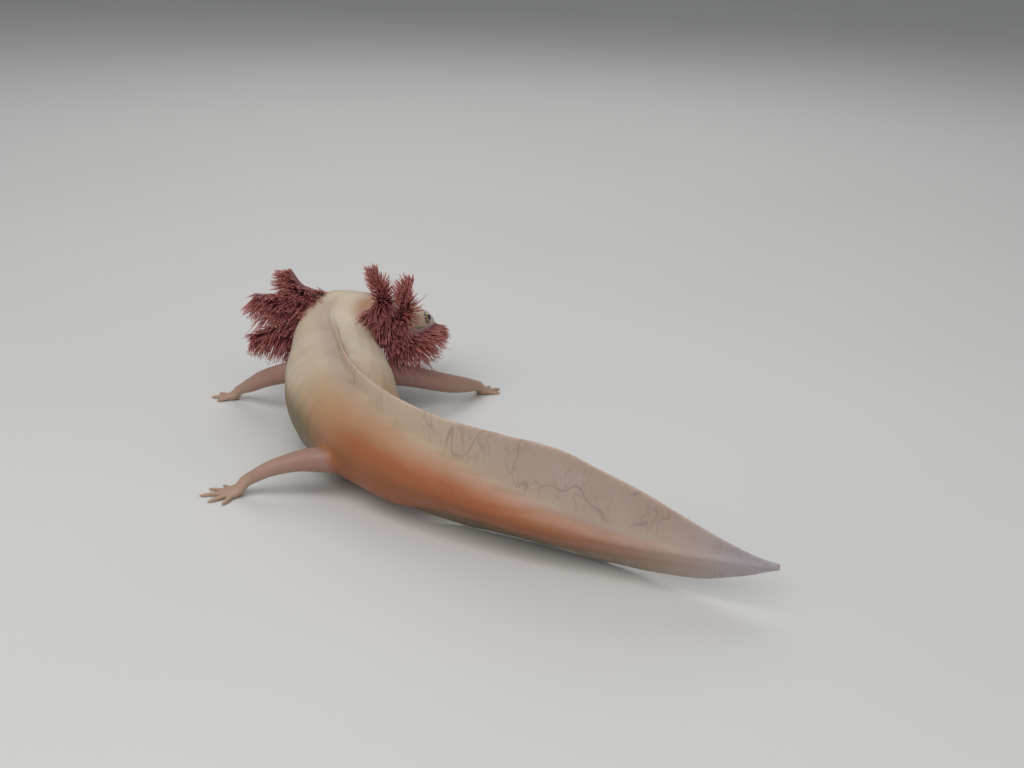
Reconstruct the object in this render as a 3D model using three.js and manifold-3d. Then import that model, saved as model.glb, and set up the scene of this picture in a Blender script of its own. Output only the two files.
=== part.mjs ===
// An axolotl at life size, standing on its four feet with its head lifted and turned to its right
// and its tail swung round to the right behind it. One closed solid for each part of the body.
//
// Units are millimetres. +Z is up, the feet stand on z = 0, and the origin is under the middle of
// the animal's outline. The animal walks roughly towards +Y, so its left side is towards -X.

import * as THREE from 'three';
import { mergeVertices } from 'three/addons/utils/BufferGeometryUtils.js';
import Module from 'manifold-3d';

const wasm = await Module();
wasm.setup();

// ---------------------------------------------------------------- driving sizes

const SEAM = 0.35; // clear gap between two parts of the body
const FIN_EDGE = 0.35; // half the thickness of a fin at its rim
const FIN_ROOT = 2.4; // half the thickness of a fin where it leaves the flesh
const EYE_RADIUS = 1.8;
const EYE_AHEAD = 0.4; // of the way from the section at the eyes to the muzzle
const EYE_OUT = 0.92; // of the half-width of the head
const EYE_UP = 0.32; // of the height of the head over its middle
const SHORTEST = 0.02; // edges shorter than this, which cuts leave, are closed up
const FOOTPRINT_MIDDLE = [-0.1, 0.02]; // middle of the outline, in the frame of the sizes below

// The head is set out from the middle of the line between its gills.
const HEAD = {
  at: [-35.8, 57.2, 26.6],
  turn: 46.5, // degrees from +X towards +Y that the snout points
  dip: 11, // degrees the snout points down
  tilt: 4, // degrees the crown leans to the animal's left
};

// Sections of the head. ahead: distance in front of the gills; half: half the width;
// above, below: height over and under the middle; square: 2 is an ellipse, more is boxier.
const HEAD_SECTIONS = [
  { name: 'lip', ahead: 31.4, half: 4.8, above: 1.5, below: 1.7, square: 2.4 },
  { name: 'nostrils', ahead: 29.0, half: 8.2, above: 3.0, below: 3.0, square: 2.4 },
  { name: 'muzzle', ahead: 24.6, half: 11.3, above: 4.8, below: 4.5, square: 2.4 },
  { name: 'eyes', ahead: 19.4, half: 13.1, above: 6.3, below: 5.7, square: 2.4 },
  { name: 'brow', ahead: 12.6, half: 14.8, above: 7.7, below: 7.0, square: 2.4 },
  { name: 'cheeks', ahead: 6.0, half: 16.2, above: 8.6, below: 8.0, square: 2.4 },
  { name: 'gills', ahead: 0.0, half: 15.8, above: 9.2, below: 8.8, square: 2.3 },
];

// Sections of the body behind the head. at: middle of the section; crest, keel: fin beyond the
// flesh over and under it; lean, sweep: how far the rim of the crest goes to the animal's left
// and the rim of the keel to its right; tilt: degrees the top leans to the animal's left.
const BODY_SECTIONS = [
  { name: 'nape', at: [-39.5, 50.0, 23.2], half: 14.0, above: 9.8, below: 10.0, crest: 0.4, tilt: 4 },
  { name: 'shoulders', at: [-39.2, 41.5, 20.6], half: 13.8, above: 10.8, below: 11.8, crest: 0.9, tilt: 3 },
  { name: 'chest', at: [-37.4, 30.0, 19.0], half: 15.4, above: 12.2, below: 14.8, crest: 1.5, tilt: 1 },
  { name: 'belly', at: [-35.0, 17.0, 18.0], half: 16.4, above: 13.2, below: 16.2, crest: 2.2 },
  { name: 'loins', at: [-31.6, 3.0, 17.4], half: 15.8, above: 13.0, below: 16.0, crest: 3.2 },
  { name: 'flanks', at: [-26.4, -10.0, 16.4], half: 14.0, above: 12.2, below: 14.4, crest: 4.6 },
  { name: 'hips', at: [-19.0, -22.5, 15.4], half: 11.8, above: 11.0, below: 12.2, crest: 6.4 },
  {
    name: 'vent', at: [-9.8, -34.0, 14.6], half: 9.6, above: 9.9, below: 10.8,
    crest: 8.4, keel: 1.2, lean: 0.6, sweep: 1.0,
  },
  {
    name: 'tailRoot', at: [0.6, -43.2, 13.8], half: 7.9, above: 8.7, below: 8.2,
    crest: 10.4, keel: 5.4, lean: 1.4, sweep: 6.5,
  },
  {
    name: 'tailBroad', at: [14.2, -53.0, 12.6], half: 6.2, above: 7.0, below: 6.4,
    crest: 14.2, keel: 6.0, lean: 2.4, sweep: 9.6,
  },
  {
    name: 'tailHigh', at: [28.8, -61.2, 11.6], half: 4.6, above: 5.4, below: 4.8,
    crest: 16.6, keel: 6.6, lean: 3.0, sweep: 10.2,
  },
  {
    name: 'tailSloping', at: [40.0, -66.9, 11.5], half: 3.1, above: 4.0, below: 3.7,
    crest: 14.8, keel: 7.4, lean: 2.8, sweep: 9.0,
  },
  {
    name: 'tailNarrow', at: [50.0, -71.6, 11.7], half: 2.3, above: 3.0, below: 2.8,
    crest: 11.8, keel: 7.2, lean: 2.2, sweep: 6.8,
  },
  {
    name: 'tailThin', at: [62.0, -76.8, 12.0], half: 1.6, above: 2.1, below: 2.0,
    crest: 6.6, keel: 6.0, lean: 1.4, sweep: 4.4,
  },
  {
    name: 'tailPoint', at: [73.0, -80.6, 12.3], half: 1.0, above: 1.3, below: 1.3,
    crest: 2.0, keel: 2.8, lean: 0.6, sweep: 1.8,
  },
  {
    name: 'tailTip', at: [80.6, -82.9, 12.6], half: 0.5, above: 0.6, below: 0.6,
    crest: 0.3, keel: 0.3,
  },
];

// 2 draws the flesh as an ellipse, and less draws it out to an edge at top and bottom.
const TRUNK_SQUARE = 2.1;
const TAIL_SQUARE = 1.6;

// Legs, from inside the body by way of the elbow or knee to the root of the hand or foot.
const LEGS = {
  arm_left: [
    { at: [-44.0, 41.0, 15.0], half: 4.0, above: 4.0, below: 4.0 },
    { at: [-54.0, 42.5, 13.2], half: 3.2, above: 3.3, below: 3.3 },
    { at: [-62.5, 45.5, 9.8], half: 2.7, above: 2.8, below: 2.8 },
    { at: [-67.3, 48.8, 6.4], half: 2.4, above: 2.3, below: 2.3 },
    { at: [-71.5, 51.6, 3.6], half: 2.1, above: 1.6, below: 1.6 },
  ],
  arm_right: [
    { at: [-31.0, 41.0, 15.0], half: 4.0, above: 4.0, below: 4.0 },
    { at: [-17.0, 44.5, 12.4], half: 3.3, above: 3.4, below: 3.4 },
    { at: [-4.0, 51.6, 7.6], half: 3.0, above: 3.0, below: 3.0 },
    { at: [1.2, 56.6, 5.4], half: 2.6, above: 2.4, below: 2.4 },
    { at: [4.8, 61.4, 3.6], half: 2.1, above: 1.6, below: 1.6 },
  ],
  leg_left: [
    { at: [-24.0, -21.0, 12.4], half: 5.2, above: 4.8, below: 4.8 },
    { at: [-33.5, -22.0, 11.6], half: 4.2, above: 3.9, below: 3.9 },
    { at: [-42.0, -22.0, 10.6], half: 3.0, above: 2.9, below: 2.9 },
    { at: [-50.0, -22.4, 8.2], half: 2.3, above: 2.2, below: 2.2 },
    { at: [-56.5, -21.8, 4.4], half: 2.0, above: 1.7, below: 1.7 },
  ],
  leg_right: [
    { at: [-15.0, -23.0, 13.0], half: 5.2, above: 4.6, below: 4.6 },
    { at: [-6.5, -16.5, 11.8], half: 3.8, above: 3.5, below: 3.5 },
    { at: [1.6, -14.6, 9.6], half: 2.9, above: 2.8, below: 2.8 },
    { at: [5.8, -19.4, 6.8], half: 2.3, above: 2.2, below: 2.2 },
    { at: [4.8, -25.4, 3.8], half: 2.0, above: 1.7, below: 1.7 },
  ],
};

// Hands have four fingers and feet five toes. heading: the way they point, in degrees from +X
// towards +Y; spread: degrees between the outer digits; palm: length and half-width.
const PAWS = {
  hand_left: {
    limb: 'arm_left', heading: 160, spread: 84,
    palm: [3.8, 2.7], digits: [3.8, 5.6, 5.2, 3.8],
  },
  hand_right: {
    limb: 'arm_right', heading: 52, spread: 84,
    palm: [3.8, 2.7], digits: [3.8, 5.2, 5.6, 3.8],
  },
  foot_left: {
    limb: 'leg_left', heading: 190, spread: 118,
    palm: [5.0, 3.3], digits: [5.2, 6.8, 7.6, 6.6, 4.8],
  },
  foot_right: {
    limb: 'leg_right', heading: 188, spread: 84,
    palm: [5.0, 3.3], digits: [4.8, 6.6, 7.6, 6.8, 5.2],
  },
};

// Gill stalks, three on each side: root in the head, bend and tip, the way the fringe hangs,
// and its length.
const GILLS = {
  gill_left_lower: {
    path: [[-45.0, 62.5, 20.8], [-57.0, 58.5, 21.6], [-67.6, 55.6, 20.3]],
    hang: [0.1, -0.6, -0.8],
    fringe: 10,
  },
  gill_left_middle: {
    path: [[-44.5, 64.5, 25.4], [-57.5, 62.0, 30.6], [-67.0, 58.6, 33.4]],
    hang: [-0.3, -0.6, -0.75],
    fringe: 10,
  },
  gill_left_upper: {
    path: [[-44.0, 65.5, 30.2], [-52.6, 62.0, 34.4], [-56.0, 60.8, 41.4]],
    hang: [-0.9, -0.2, -0.3],
    fringe: 8,
  },
  gill_right_lower: {
    path: [[-26.0, 48.5, 22.4], [-15.6, 47.4, 24.2], [-8.6, 52.0, 27.4]],
    hang: [-0.1, -0.6, -0.8],
    fringe: 9.5,
  },
  gill_right_middle: {
    path: [[-26.5, 49.0, 27.4], [-18.8, 47.4, 32.4], [-17.0, 52.0, 40.0]],
    hang: [-0.3, -0.7, -0.6],
    fringe: 8.5,
  },
  gill_right_upper: {
    path: [[-27.5, 50.0, 31.6], [-24.8, 48.4, 35.8], [-28.6, 55.0, 42.8]],
    hang: [-0.2, -0.8, -0.1],
    fringe: 7,
  },
};

const COLOURS = {
  back: 0xd9c3a6,
  flesh: 0xd6a884,
  tail: 0xb97a50,
  fin: 0xdcc9b0,
  limb: 0xd9b3a6,
  gill: 0x7a2f34,
  eye: 0x15110f,
};

// ---------------------------------------------------------------- curves through stations

const UP = new THREE.Vector3(0, 0, 1);
const radians = THREE.MathUtils.degToRad;
const clamp = THREE.MathUtils.clamp;
const vector = (at) => new THREE.Vector3(...at);

// Smooth value of one size at position t along a list of stations, never under its neighbours.
function sizeAt(stations, key, t) {
  const last = stations.length - 1;
  const i = clamp(Math.floor(t), 0, last - 1);
  const u = t - i;
  const [a, b, c, d] = [-1, 0, 1, 2].map((n) => stations[clamp(i + n, 0, last)][key] ?? 0);
  const smooth = b + 0.5 * u * (c - a + u * (2 * a - 5 * b + 4 * c - d + u * (3 * (b - c) + d - a)));
  return clamp(smooth, Math.min(b, c), Math.max(b, c, smooth));
}

// A form is a list of stations with the curve through their middles. facing is -1 where the
// stations run from front to back; ease is how many stations a bend is spread over on each side.
function formOf(stations, { facing = 1, ease = 0 } = {}) {
  const curve = new THREE.CatmullRomCurve3(stations.map((s) => vector(s.at)), false, 'centripetal');
  return { stations, facing, ease, curve };
}

// The section of a form at position t: its middle, its left and up directions, and its sizes.
function sectionAt(form, t) {
  const last = form.stations.length - 1;
  const forward = new THREE.Vector3();
  for (const reach of [-form.ease, -form.ease / 2, 0, form.ease / 2, form.ease])
    forward.add(form.curve.getTangent(clamp((t + reach) / last, 0, 1)));
  forward.normalize().multiplyScalar(form.facing);
  const sizes = {};
  for (const key of ['half', 'above', 'below', 'square', 'crest', 'keel', 'lean', 'sweep', 'tilt'])
    sizes[key] = sizeAt(form.stations, key, t);
  const left = UP.clone().cross(forward).normalize();
  left.applyAxisAngle(forward, -radians(sizes.tilt));
  const middle = form.curve.getPoint(clamp(t / last, 0, 1));
  return { ...sizes, middle, left, up: forward.clone().cross(left) };
}

// Half the thickness of a section at height v over its middle, flesh and fin together.
function halfThickness(s, v) {
  const [reach, fin] = v >= 0 ? [s.above, s.crest] : [s.below, s.keel];
  const share = Math.min(Math.abs(v) / reach, 1);
  const square = s.square || TRUNK_SQUARE;
  const flesh = s.half * (1 - share ** square) ** (1 / square);
  const root = Math.min(FIN_ROOT, 0.6 * s.half);
  const alongFin = clamp((Math.abs(v) - 0.6 * reach) / (0.4 * reach + fin), 0, 1);
  const blade = fin > 0 ? root + (FIN_EDGE - root) * alongFin ** 0.8 : 0;
  return Math.max(Math.hypot(flesh, blade * share ** 4), Math.min(FIN_EDGE, s.half));
}

// How far the middle of a section stands to the left at height v, where the fins lean or sweep.
function leanAt(s, v) {
  if (v >= 0) return s.lean * (v / (s.above + s.crest)) ** 2;
  return -s.sweep * (v / (s.below + s.keel)) ** 2;
}

// ---------------------------------------------------------------- solids

// A solid from positions and triangles, turned the right way out.
function solidFrom(positions, triangles) {
  const geometry = new THREE.BufferGeometry();
  geometry.setAttribute('position', new THREE.Float32BufferAttribute(positions, 3));
  geometry.setIndex(triangles);
  const merged = mergeVertices(geometry, 1e-4);
  const vertProperties = merged.attributes.position.array;
  const triVerts = new Uint32Array(merged.index.array);
  const solid = new wasm.Manifold(new wasm.Mesh({ numProp: 3, vertProperties, triVerts }));
  if (solid.volume() > 0) return solid;
  const turned = triVerts.map((_, i) => triVerts[i - (i % 3) + [0, 2, 1][i % 3]]);
  return new wasm.Manifold(new wasm.Mesh({ numProp: 3, vertProperties, triVerts: turned }));
}

// A solid from slices. Each slice is a ladder of rungs from top to bottom, and each rung has a
// left and a right end, so a flat cap closes the first and the last slice rung by rung.
function loft(slices) {
  const rungs = slices[0].length;
  const around = 2 * rungs;
  const ringOf = (slice) => [...slice.map((rung) => rung[0]), ...slice.map((rung) => rung[1]).reverse()];
  const positions = slices.flatMap(ringOf).flatMap((point) => point.toArray());
  const triangles = [];
  const quad = (a, b, c, d) => triangles.push(a, b, c, a, c, d);
  for (let n = 0; n + 1 < slices.length; n++)
    for (let i = 0; i < around; i++) {
      const [near, far, next] = [n * around, (n + 1) * around, (i + 1) % around];
      quad(near + i, near + next, far + next, far + i);
    }
  const lastRing = (slices.length - 1) * around;
  for (let i = 0; i + 1 < rungs; i++) {
    const [left, right] = [i, around - 1 - i];
    quad(left, right, right - 1, left + 1);
    quad(lastRing + left + 1, lastRing + right - 1, lastRing + right, lastRing + left);
  }
  return solidFrom(positions, triangles);
}

// One slice of a form between heights low and high, which are functions of the section.
// grow widens it all round; even spaces the rungs evenly instead of closer at top and bottom.
function sliceOf(section, { low, high, rungs, grow = 0, even = false }) {
  const [bottom, top] = [low(section), high(section)];
  return Array.from({ length: rungs + 1 }, (_, i) => {
    const share = even ? i / rungs : (1 - Math.cos((Math.PI * i) / rungs)) / 2;
    const v = top + grow + (bottom - top - 2 * grow) * share;
    const inside = clamp(v, bottom, top);
    const half = halfThickness(section, inside) + grow;
    const middle = section.middle.clone().addScaledVector(section.up, v);
    const shift = leanAt(section, inside);
    return [half, -half].map((side) => middle.clone().addScaledVector(section.left, side + shift));
  });
}

const FLESH = { low: (s) => -s.below, high: (s) => s.above };

// Loft a form from one position to another in a number of steps.
function loftForm(form, from, to, steps, options) {
  const sliceNumber = (n) => sliceOf(sectionAt(form, from + ((to - from) * n) / steps), options);
  return loft(Array.from({ length: steps + 1 }, (_, n) => sliceNumber(n)));
}

// A solid from one of three's own closed shapes.
function solidOf(geometry) {
  geometry.deleteAttribute('normal');
  geometry.deleteAttribute('uv');
  return solidFrom(Array.from(geometry.attributes.position.array), Array.from(geometry.index.array));
}

// Only the largest piece is kept of what a cut leaves.
function largest(solid) {
  return solid.decompose().reduce((best, piece) => (piece.volume() > best.volume() ? piece : best));
}

const ball = (centre, radius) => solidOf(new THREE.SphereGeometry(radius, 10, 7).translate(...centre));
const underFloor = solidOf(new THREE.BoxGeometry(600, 600, 60).translate(0, 0, -30));
const standing = (solid) => solid.subtract(underFloor);

const parts = new Map();

// ---------------------------------------------------------------- the body

const headTurn = radians(HEAD.turn);
const headDip = radians(HEAD.dip);
const snoutward = new THREE.Vector3(
  Math.cos(headTurn) * Math.cos(headDip),
  Math.sin(headTurn) * Math.cos(headDip),
  -Math.sin(headDip),
);
const headStations = HEAD_SECTIONS.map((section) => ({
  ...section,
  at: vector(HEAD.at).addScaledVector(snoutward, section.ahead).toArray(),
  tilt: HEAD.tilt,
}));
const bodyStations = [...headStations, ...BODY_SECTIONS];
const place = Object.fromEntries(bodyStations.map((station, n) => [station.name, n]));
for (const station of BODY_SECTIONS)
  station.square = station.name.startsWith('tail') ? TAIL_SQUARE : TRUNK_SQUARE;
const body = formOf(bodyStations, { facing: -1, ease: 1.2 });

// The position along the body one seam past position t.
function pastSeam(t) {
  const step = 0.01;
  const length = sectionAt(body, t + step).middle.distanceTo(sectionAt(body, t).middle);
  return t + (SEAM * step) / length;
}

const FIN_CUT = 0.985; // share of the flesh's height at which a fin is parted from it
const crestCut = (s) => FIN_CUT * s.above;
const keelCut = (s) => -FIN_CUT * s.below;
const headEnd = place.gills + 0.5;
const neckEnd = place.nape + 0.6;
const trunkEnd = place.vent - 0.3;
const tailFrontEnd = place.tailHigh - 0.3;
const finEnd = place.tailTip - 0.3;

// Where each length of flesh starts and ends along the body, and its number of steps.
const spans = {
  head: [0, headEnd, 12],
  neck: [headEnd, neckEnd, 3],
  trunk: [neckEnd, trunkEnd, 15],
  tailFront: [trunkEnd, tailFrontEnd, 9],
  tailRear: [tailFrontEnd, place.tailTip, 13],
};
const lengthOf = ([from, to, steps], options) => loftForm(body, from && pastSeam(from), to, steps, options);

const wholeHead = lengthOf(spans.head, { ...FLESH, rungs: 9 });
const finless = { low: FLESH.low, high: crestCut, rungs: 9 };
const core = { low: keelCut, high: crestCut };
parts.set('neck', lengthOf(spans.neck, finless));
parts.set('trunk', standing(lengthOf(spans.trunk, finless)));
parts.set('tail_front', lengthOf(spans.tailFront, { ...core, rungs: 7 }));
parts.set('tail_rear', lengthOf(spans.tailRear, { ...core, rungs: 4 }));

// The fins stand a seam away from the flesh, and are never cut to less than a narrow band.
const NARROWEST = 0.75;
const upperFin = {
  low: (s) => crestCut(s) + SEAM,
  high: (s) => s.above + Math.max(s.crest, NARROWEST),
  even: true,
};
const lowerFin = {
  low: (s) => -s.below - Math.max(s.keel, NARROWEST),
  high: (s) => keelCut(s) - SEAM,
  even: true,
};
parts.set('back_fin', loftForm(body, pastSeam(headEnd), trunkEnd, 16, { ...upperFin, rungs: 2 }));
const finAlongTail = (fin) => loftForm(body, pastSeam(trunkEnd), finEnd, 19, { ...fin, rungs: 3 });
parts.set('tail_fin_upper', finAlongTail(upperFin));
parts.set('tail_fin_lower', standing(finAlongTail(lowerFin)));

// The flesh grown by a seam, to trim what grows out of it.
const clearance = [spans.head, spans.neck, spans.trunk, spans.tailFront]
  .map((span) => loftForm(body, ...span, { ...FLESH, rungs: 9, grow: SEAM }))
  .reduce((all, solid) => all.add(solid));

// ---------------------------------------------------------------- head, jaw and eyes

const MOUTH_DROP = 1.2; // from the middle of a section down to the mouth
const JAW_HINGE = place.brow + 0.1;

// What lies under the mouth, from before the snout back to the hinge of the jaw.
function underMouth(drop, hinge) {
  const leftward = UP.clone().cross(snoutward).normalize();
  const ends = [
    sectionAt(body, 0).middle.addScaledVector(snoutward, 6),
    sectionAt(body, hinge).middle,
  ];
  const slices = ends.map((end) => [drop, drop + 14].map((down) => {
    const middle = end.clone().addScaledVector(UP, -down);
    return [30, -30].map((side) => middle.clone().addScaledVector(leftward, side));
  }));
  return loft(slices);
}

parts.set('lower_jaw', wholeHead.intersect(underMouth(MOUTH_DROP + SEAM, JAW_HINGE - 0.06)));

let head = wholeHead.subtract(underMouth(MOUTH_DROP, JAW_HINGE));
for (const [name, side] of [['eye_left', 1], ['eye_right', -1]]) {
  const s = sectionAt(body, place.eyes - EYE_AHEAD);
  const centre = s.middle.clone();
  centre.addScaledVector(s.left, side * EYE_OUT * s.half).addScaledVector(s.up, EYE_UP * s.above);
  head = head.subtract(ball(centre, EYE_RADIUS + SEAM));
  parts.set(name, ball(centre, EYE_RADIUS));
}
parts.set('head', head);

// ---------------------------------------------------------------- legs, hands and feet

const ELBOW = 2; // which station of a leg is its elbow or knee
const limbSkin = { ...FLESH, rungs: 4 };
for (const [name, stations] of Object.entries(LEGS)) {
  const limb = formOf(stations);
  const lowerStart = ELBOW + SEAM / 8;
  parts.set(name + '_upper', loftForm(limb, 0, ELBOW, 4, limbSkin).subtract(clearance));
  parts.set(name + '_lower', loftForm(limb, lowerStart, stations.length - 1, 4, limbSkin));
}

// A digit is a thin tapering rod that comes down to the floor along its length.
const DIGIT_RADIUS = 0.95;
const SLIMMER = 0.97; // the thickness of each digit, as a share of the one before
const DIGIT = [
  { share: -0.3, thick: 0.95, lift: 1.5 },
  { share: 0.65, thick: 0.85, lift: 0.6 },
  { share: 1.0, thick: 0.4, lift: 0.4 },
];
function digit(root, heading, length, radius) {
  const along = new THREE.Vector3(Math.cos(heading), Math.sin(heading), 0);
  const stations = DIGIT.map(({ share, thick, lift }) => {
    const at = root.clone().addScaledVector(along, share * length).setZ(lift * radius).toArray();
    const half = thick * radius;
    return { at, half, above: 0.9 * half, below: 0.9 * half };
  });
  return loftForm(formOf(stations), 0, DIGIT.length - 1, DIGIT.length - 1, { ...FLESH, rungs: 2 });
}

// A palm or sole, from the wrist down to the floor. share: how far along it; wide: of its width.
const PALM = [
  { share: 0, wide: 0.62, lift: null, above: 1.5, below: 1.5 },
  { share: 0.45, wide: 0.85, lift: 1.7, above: 1.4, below: 1.8 },
  { share: 0.85, wide: 1.0, lift: 1.1, above: 1.2, below: 1.4 },
  { share: 1.15, wide: 0.75, lift: 0.75, above: 0.8, below: 1.0 },
];
for (const [name, { limb, heading, spread, palm, digits }] of Object.entries(PAWS)) {
  const [length, half] = palm;
  const aim = radians(heading);
  const along = new THREE.Vector3(Math.cos(aim), Math.sin(aim), 0);
  const across = along.clone().cross(UP);
  const wrist = vector(LEGS[limb].at(-1).at).addScaledVector(along, SEAM);
  const palmStations = PALM.map(({ share, wide, lift, above, below }) => {
    const at = wrist.clone().addScaledVector(along, share * length);
    if (lift !== null) at.setZ(lift);
    return { at: at.toArray(), half: wide * half, above, below };
  });
  let paw = loftForm(formOf(palmStations), 0, PALM.length - 1, 4, { ...FLESH, rungs: 3 });
  digits.forEach((size, n) => {
    const side = n / (digits.length - 1) - 0.5;
    const root = wrist.clone().addScaledVector(along, length * (1 - 0.5 * Math.abs(side)));
    root.addScaledVector(across, 1.4 * side * half);
    paw = paw.add(digit(root, aim - radians(spread) * side, size, DIGIT_RADIUS * SLIMMER ** n));
  });
  parts.set(name, standing(paw).subtract(parts.get(limb + '_lower')));
}

// ---------------------------------------------------------------- gills

const STALK = [2.5, 2.0, 0.8]; // half the thickness of a stalk at its root, bend and tip
const TUFTS = 5; // in each of the two rows on a stalk
const TUFTED = [0.28, 0.93]; // the share of a stalk that the first row starts and ends at
const STAGGER = 0.4; // of the way from one tuft to the next that the second row is further out
// wide: half the width, as a share of the way from one tuft to the next; thick: half the thickness.
const TUFT = [
  { share: 0, wide: 0.44, thick: 0.7 },
  { share: 1, wide: 0.24, thick: 0.3 },
];

// A tuft of the fringe: a flat tapering blade that starts inside the stalk.
function tuft(root, way, along, length, spacing, grow) {
  const out = way.clone().cross(along).normalize();
  const slices = TUFT.map(({ share, wide, thick }) => {
    const middle = root.clone().addScaledVector(way, share * (length + grow));
    const [reach, depth] = [wide * spacing + grow, thick + grow];
    return [reach, -reach].map((end) => [depth, -depth].map((side) =>
      middle.clone().addScaledVector(along, end).addScaledVector(out, side)));
  });
  return loft(slices);
}

// A stalk with its two rows of tufts, grown all round by grow.
function gillSolid({ path, hang, fringe }, grow) {
  const stations = path.map((at, n) => ({ at, half: STALK[n], above: STALK[n], below: STALK[n] }));
  const stalk = formOf(stations);
  const down = vector(hang).normalize();
  let gill = loftForm(stalk, 0, path.length - 1, 4, { ...FLESH, rungs: 3, grow });
  const step = (TUFTED[1] - TUFTED[0]) / (TUFTS - 1);
  const spacing = step * stalk.curve.getLength();
  for (const [side, stagger] of [[1, 0], [-1, STAGGER]])
    for (let n = 0; n < TUFTS; n++) {
      const u = TUFTED[0] + step * (n + stagger);
      const along = stalk.curve.getTangent(u);
      const across = down.clone().cross(along).normalize();
      const length = fringe * (1 - 0.55 * Math.abs(2 * u - 1) ** 1.6);
      const way = down.clone().addScaledVector(across, 0.5 * side).addScaledVector(along, 0.25 + 0.6 * u);
      gill = gill.add(tuft(stalk.curve.getPoint(u), way.normalize(), along, length, spacing, grow));
    }
  return gill;
}

const rightArm = loftForm(formOf(LEGS.arm_right), 0, ELBOW, 4, { ...limbSkin, grow: SEAM });
let taken = clearance.add(rightArm);
for (const [name, gill] of Object.entries(GILLS)) {
  parts.set(name, gillSolid(gill, 0).subtract(taken));
  taken = taken.add(gillSolid(gill, SEAM));
}

// ---------------------------------------------------------------- the group

const KINDS = [
  ['gill', 'gill'],
  ['eye', 'eye'],
  ['fin', 'fin'],
  ['tail', 'tail'],
  ['arm', 'limb'],
  ['leg', 'limb'],
  ['hand', 'limb'],
  ['foot', 'limb'],
  ['trunk', 'flesh'],
  ['', 'back'],
];

function materialOf(name) {
  const kind = KINDS.find(([word]) => name.includes(word))[1];
  const roughness = kind === 'eye' ? 0.1 : 0.45;
  return new THREE.MeshStandardMaterial({ color: COLOURS[kind], roughness, metalness: 0 });
}

const axolotl = new THREE.Group();
for (const [name, solid] of parts) {
  const [x, y] = FOOTPRINT_MIDDLE;
  const mesh = largest(solid.translate(-x, -y, 0).asOriginal().simplify(SHORTEST)).getMesh();
  const geometry = new THREE.BufferGeometry();
  geometry.setAttribute('position', new THREE.Float32BufferAttribute(mesh.vertProperties, 3));
  geometry.setIndex(Array.from(mesh.triVerts));
  const node = new THREE.Mesh(geometry, materialOf(name));
  node.name = name;
  axolotl.add(node);
}

export default axolotl;
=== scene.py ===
"""An axolotl at life size, standing still on its four feet, its head raised and turned to its right.

Lengths in the tables are millimetres in the part's own frame: +Z is up, the feet stand on z = 0 and
the animal walks towards +Y, with its left towards -X. MM turns them into metres.
"""
import math
import random

import bmesh
import bpy
import numpy as np
from mathutils import Matrix, Vector, kdtree, noise
from mathutils.bvhtree import BVHTree


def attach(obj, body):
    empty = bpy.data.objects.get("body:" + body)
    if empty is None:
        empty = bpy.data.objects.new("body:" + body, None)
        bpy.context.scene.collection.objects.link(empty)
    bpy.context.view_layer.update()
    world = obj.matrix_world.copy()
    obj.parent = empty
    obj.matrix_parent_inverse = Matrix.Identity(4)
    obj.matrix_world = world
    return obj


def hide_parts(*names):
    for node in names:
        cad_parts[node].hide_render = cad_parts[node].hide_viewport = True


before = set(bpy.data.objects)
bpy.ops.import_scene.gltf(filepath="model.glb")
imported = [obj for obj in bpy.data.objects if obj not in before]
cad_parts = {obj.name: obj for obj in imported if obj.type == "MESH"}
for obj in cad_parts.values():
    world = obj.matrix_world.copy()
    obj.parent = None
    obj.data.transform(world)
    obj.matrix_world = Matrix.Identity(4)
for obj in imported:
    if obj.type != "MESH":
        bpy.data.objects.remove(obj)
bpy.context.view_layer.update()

bl_info = {
    "name": "Axolotl",
    "version": (1, 0, 0),
    "blender": (4, 5, 0),
    "location": "3D View > Sidebar > Axolotl",
    "description": "Dresses the solids of a life-size axolotl with skin, eyes and gill fringe",
    "category": "Object",
}

MM = 0.001
BODY = "root"

# ---------------------------------------------------------------- driving sizes, in millimetres

MIDDLE = np.array([-0.1, 0.02, 0.0])  # middle of the outline, in the frame of the tables below
FIN_EDGE = 0.35  # half the thickness of a fin at its rim
FIN_ROOT = 2.4  # half the thickness of a fin where it leaves the flesh
FIN_ROOT_SHARE = 0.6  # of the half-width of the flesh, the most that the root of a fin takes
FIN_FROM = 0.6  # of the height of the flesh, where a fin starts to thin towards its rim
FIN_HOLLOW = 0.8  # power by which it thins
HEAD_AT = np.array([-35.8, 57.2, 26.6])  # middle of the line between the gills
HEAD_TURN = math.radians(46.5)  # from +X towards +Y that the snout points
HEAD_DIP = math.radians(11)
HEAD_TILT = 4

# ahead of the gills, half the width, height over and under the middle, squareness
HEAD_SECTIONS = [
    ("lip", 31.4, 4.8, 1.5, 1.7, 2.4),
    ("nostrils", 29.0, 8.2, 3.0, 3.0, 2.4),
    ("muzzle", 24.6, 11.3, 4.8, 4.5, 2.4),
    ("eyes", 19.4, 13.1, 6.3, 5.7, 2.4),
    ("brow", 12.6, 14.8, 7.7, 7.0, 2.4),
    ("cheeks", 6.0, 16.2, 8.6, 8.0, 2.4),
    ("gills", 0.0, 15.8, 9.2, 8.8, 2.3),
]

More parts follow.
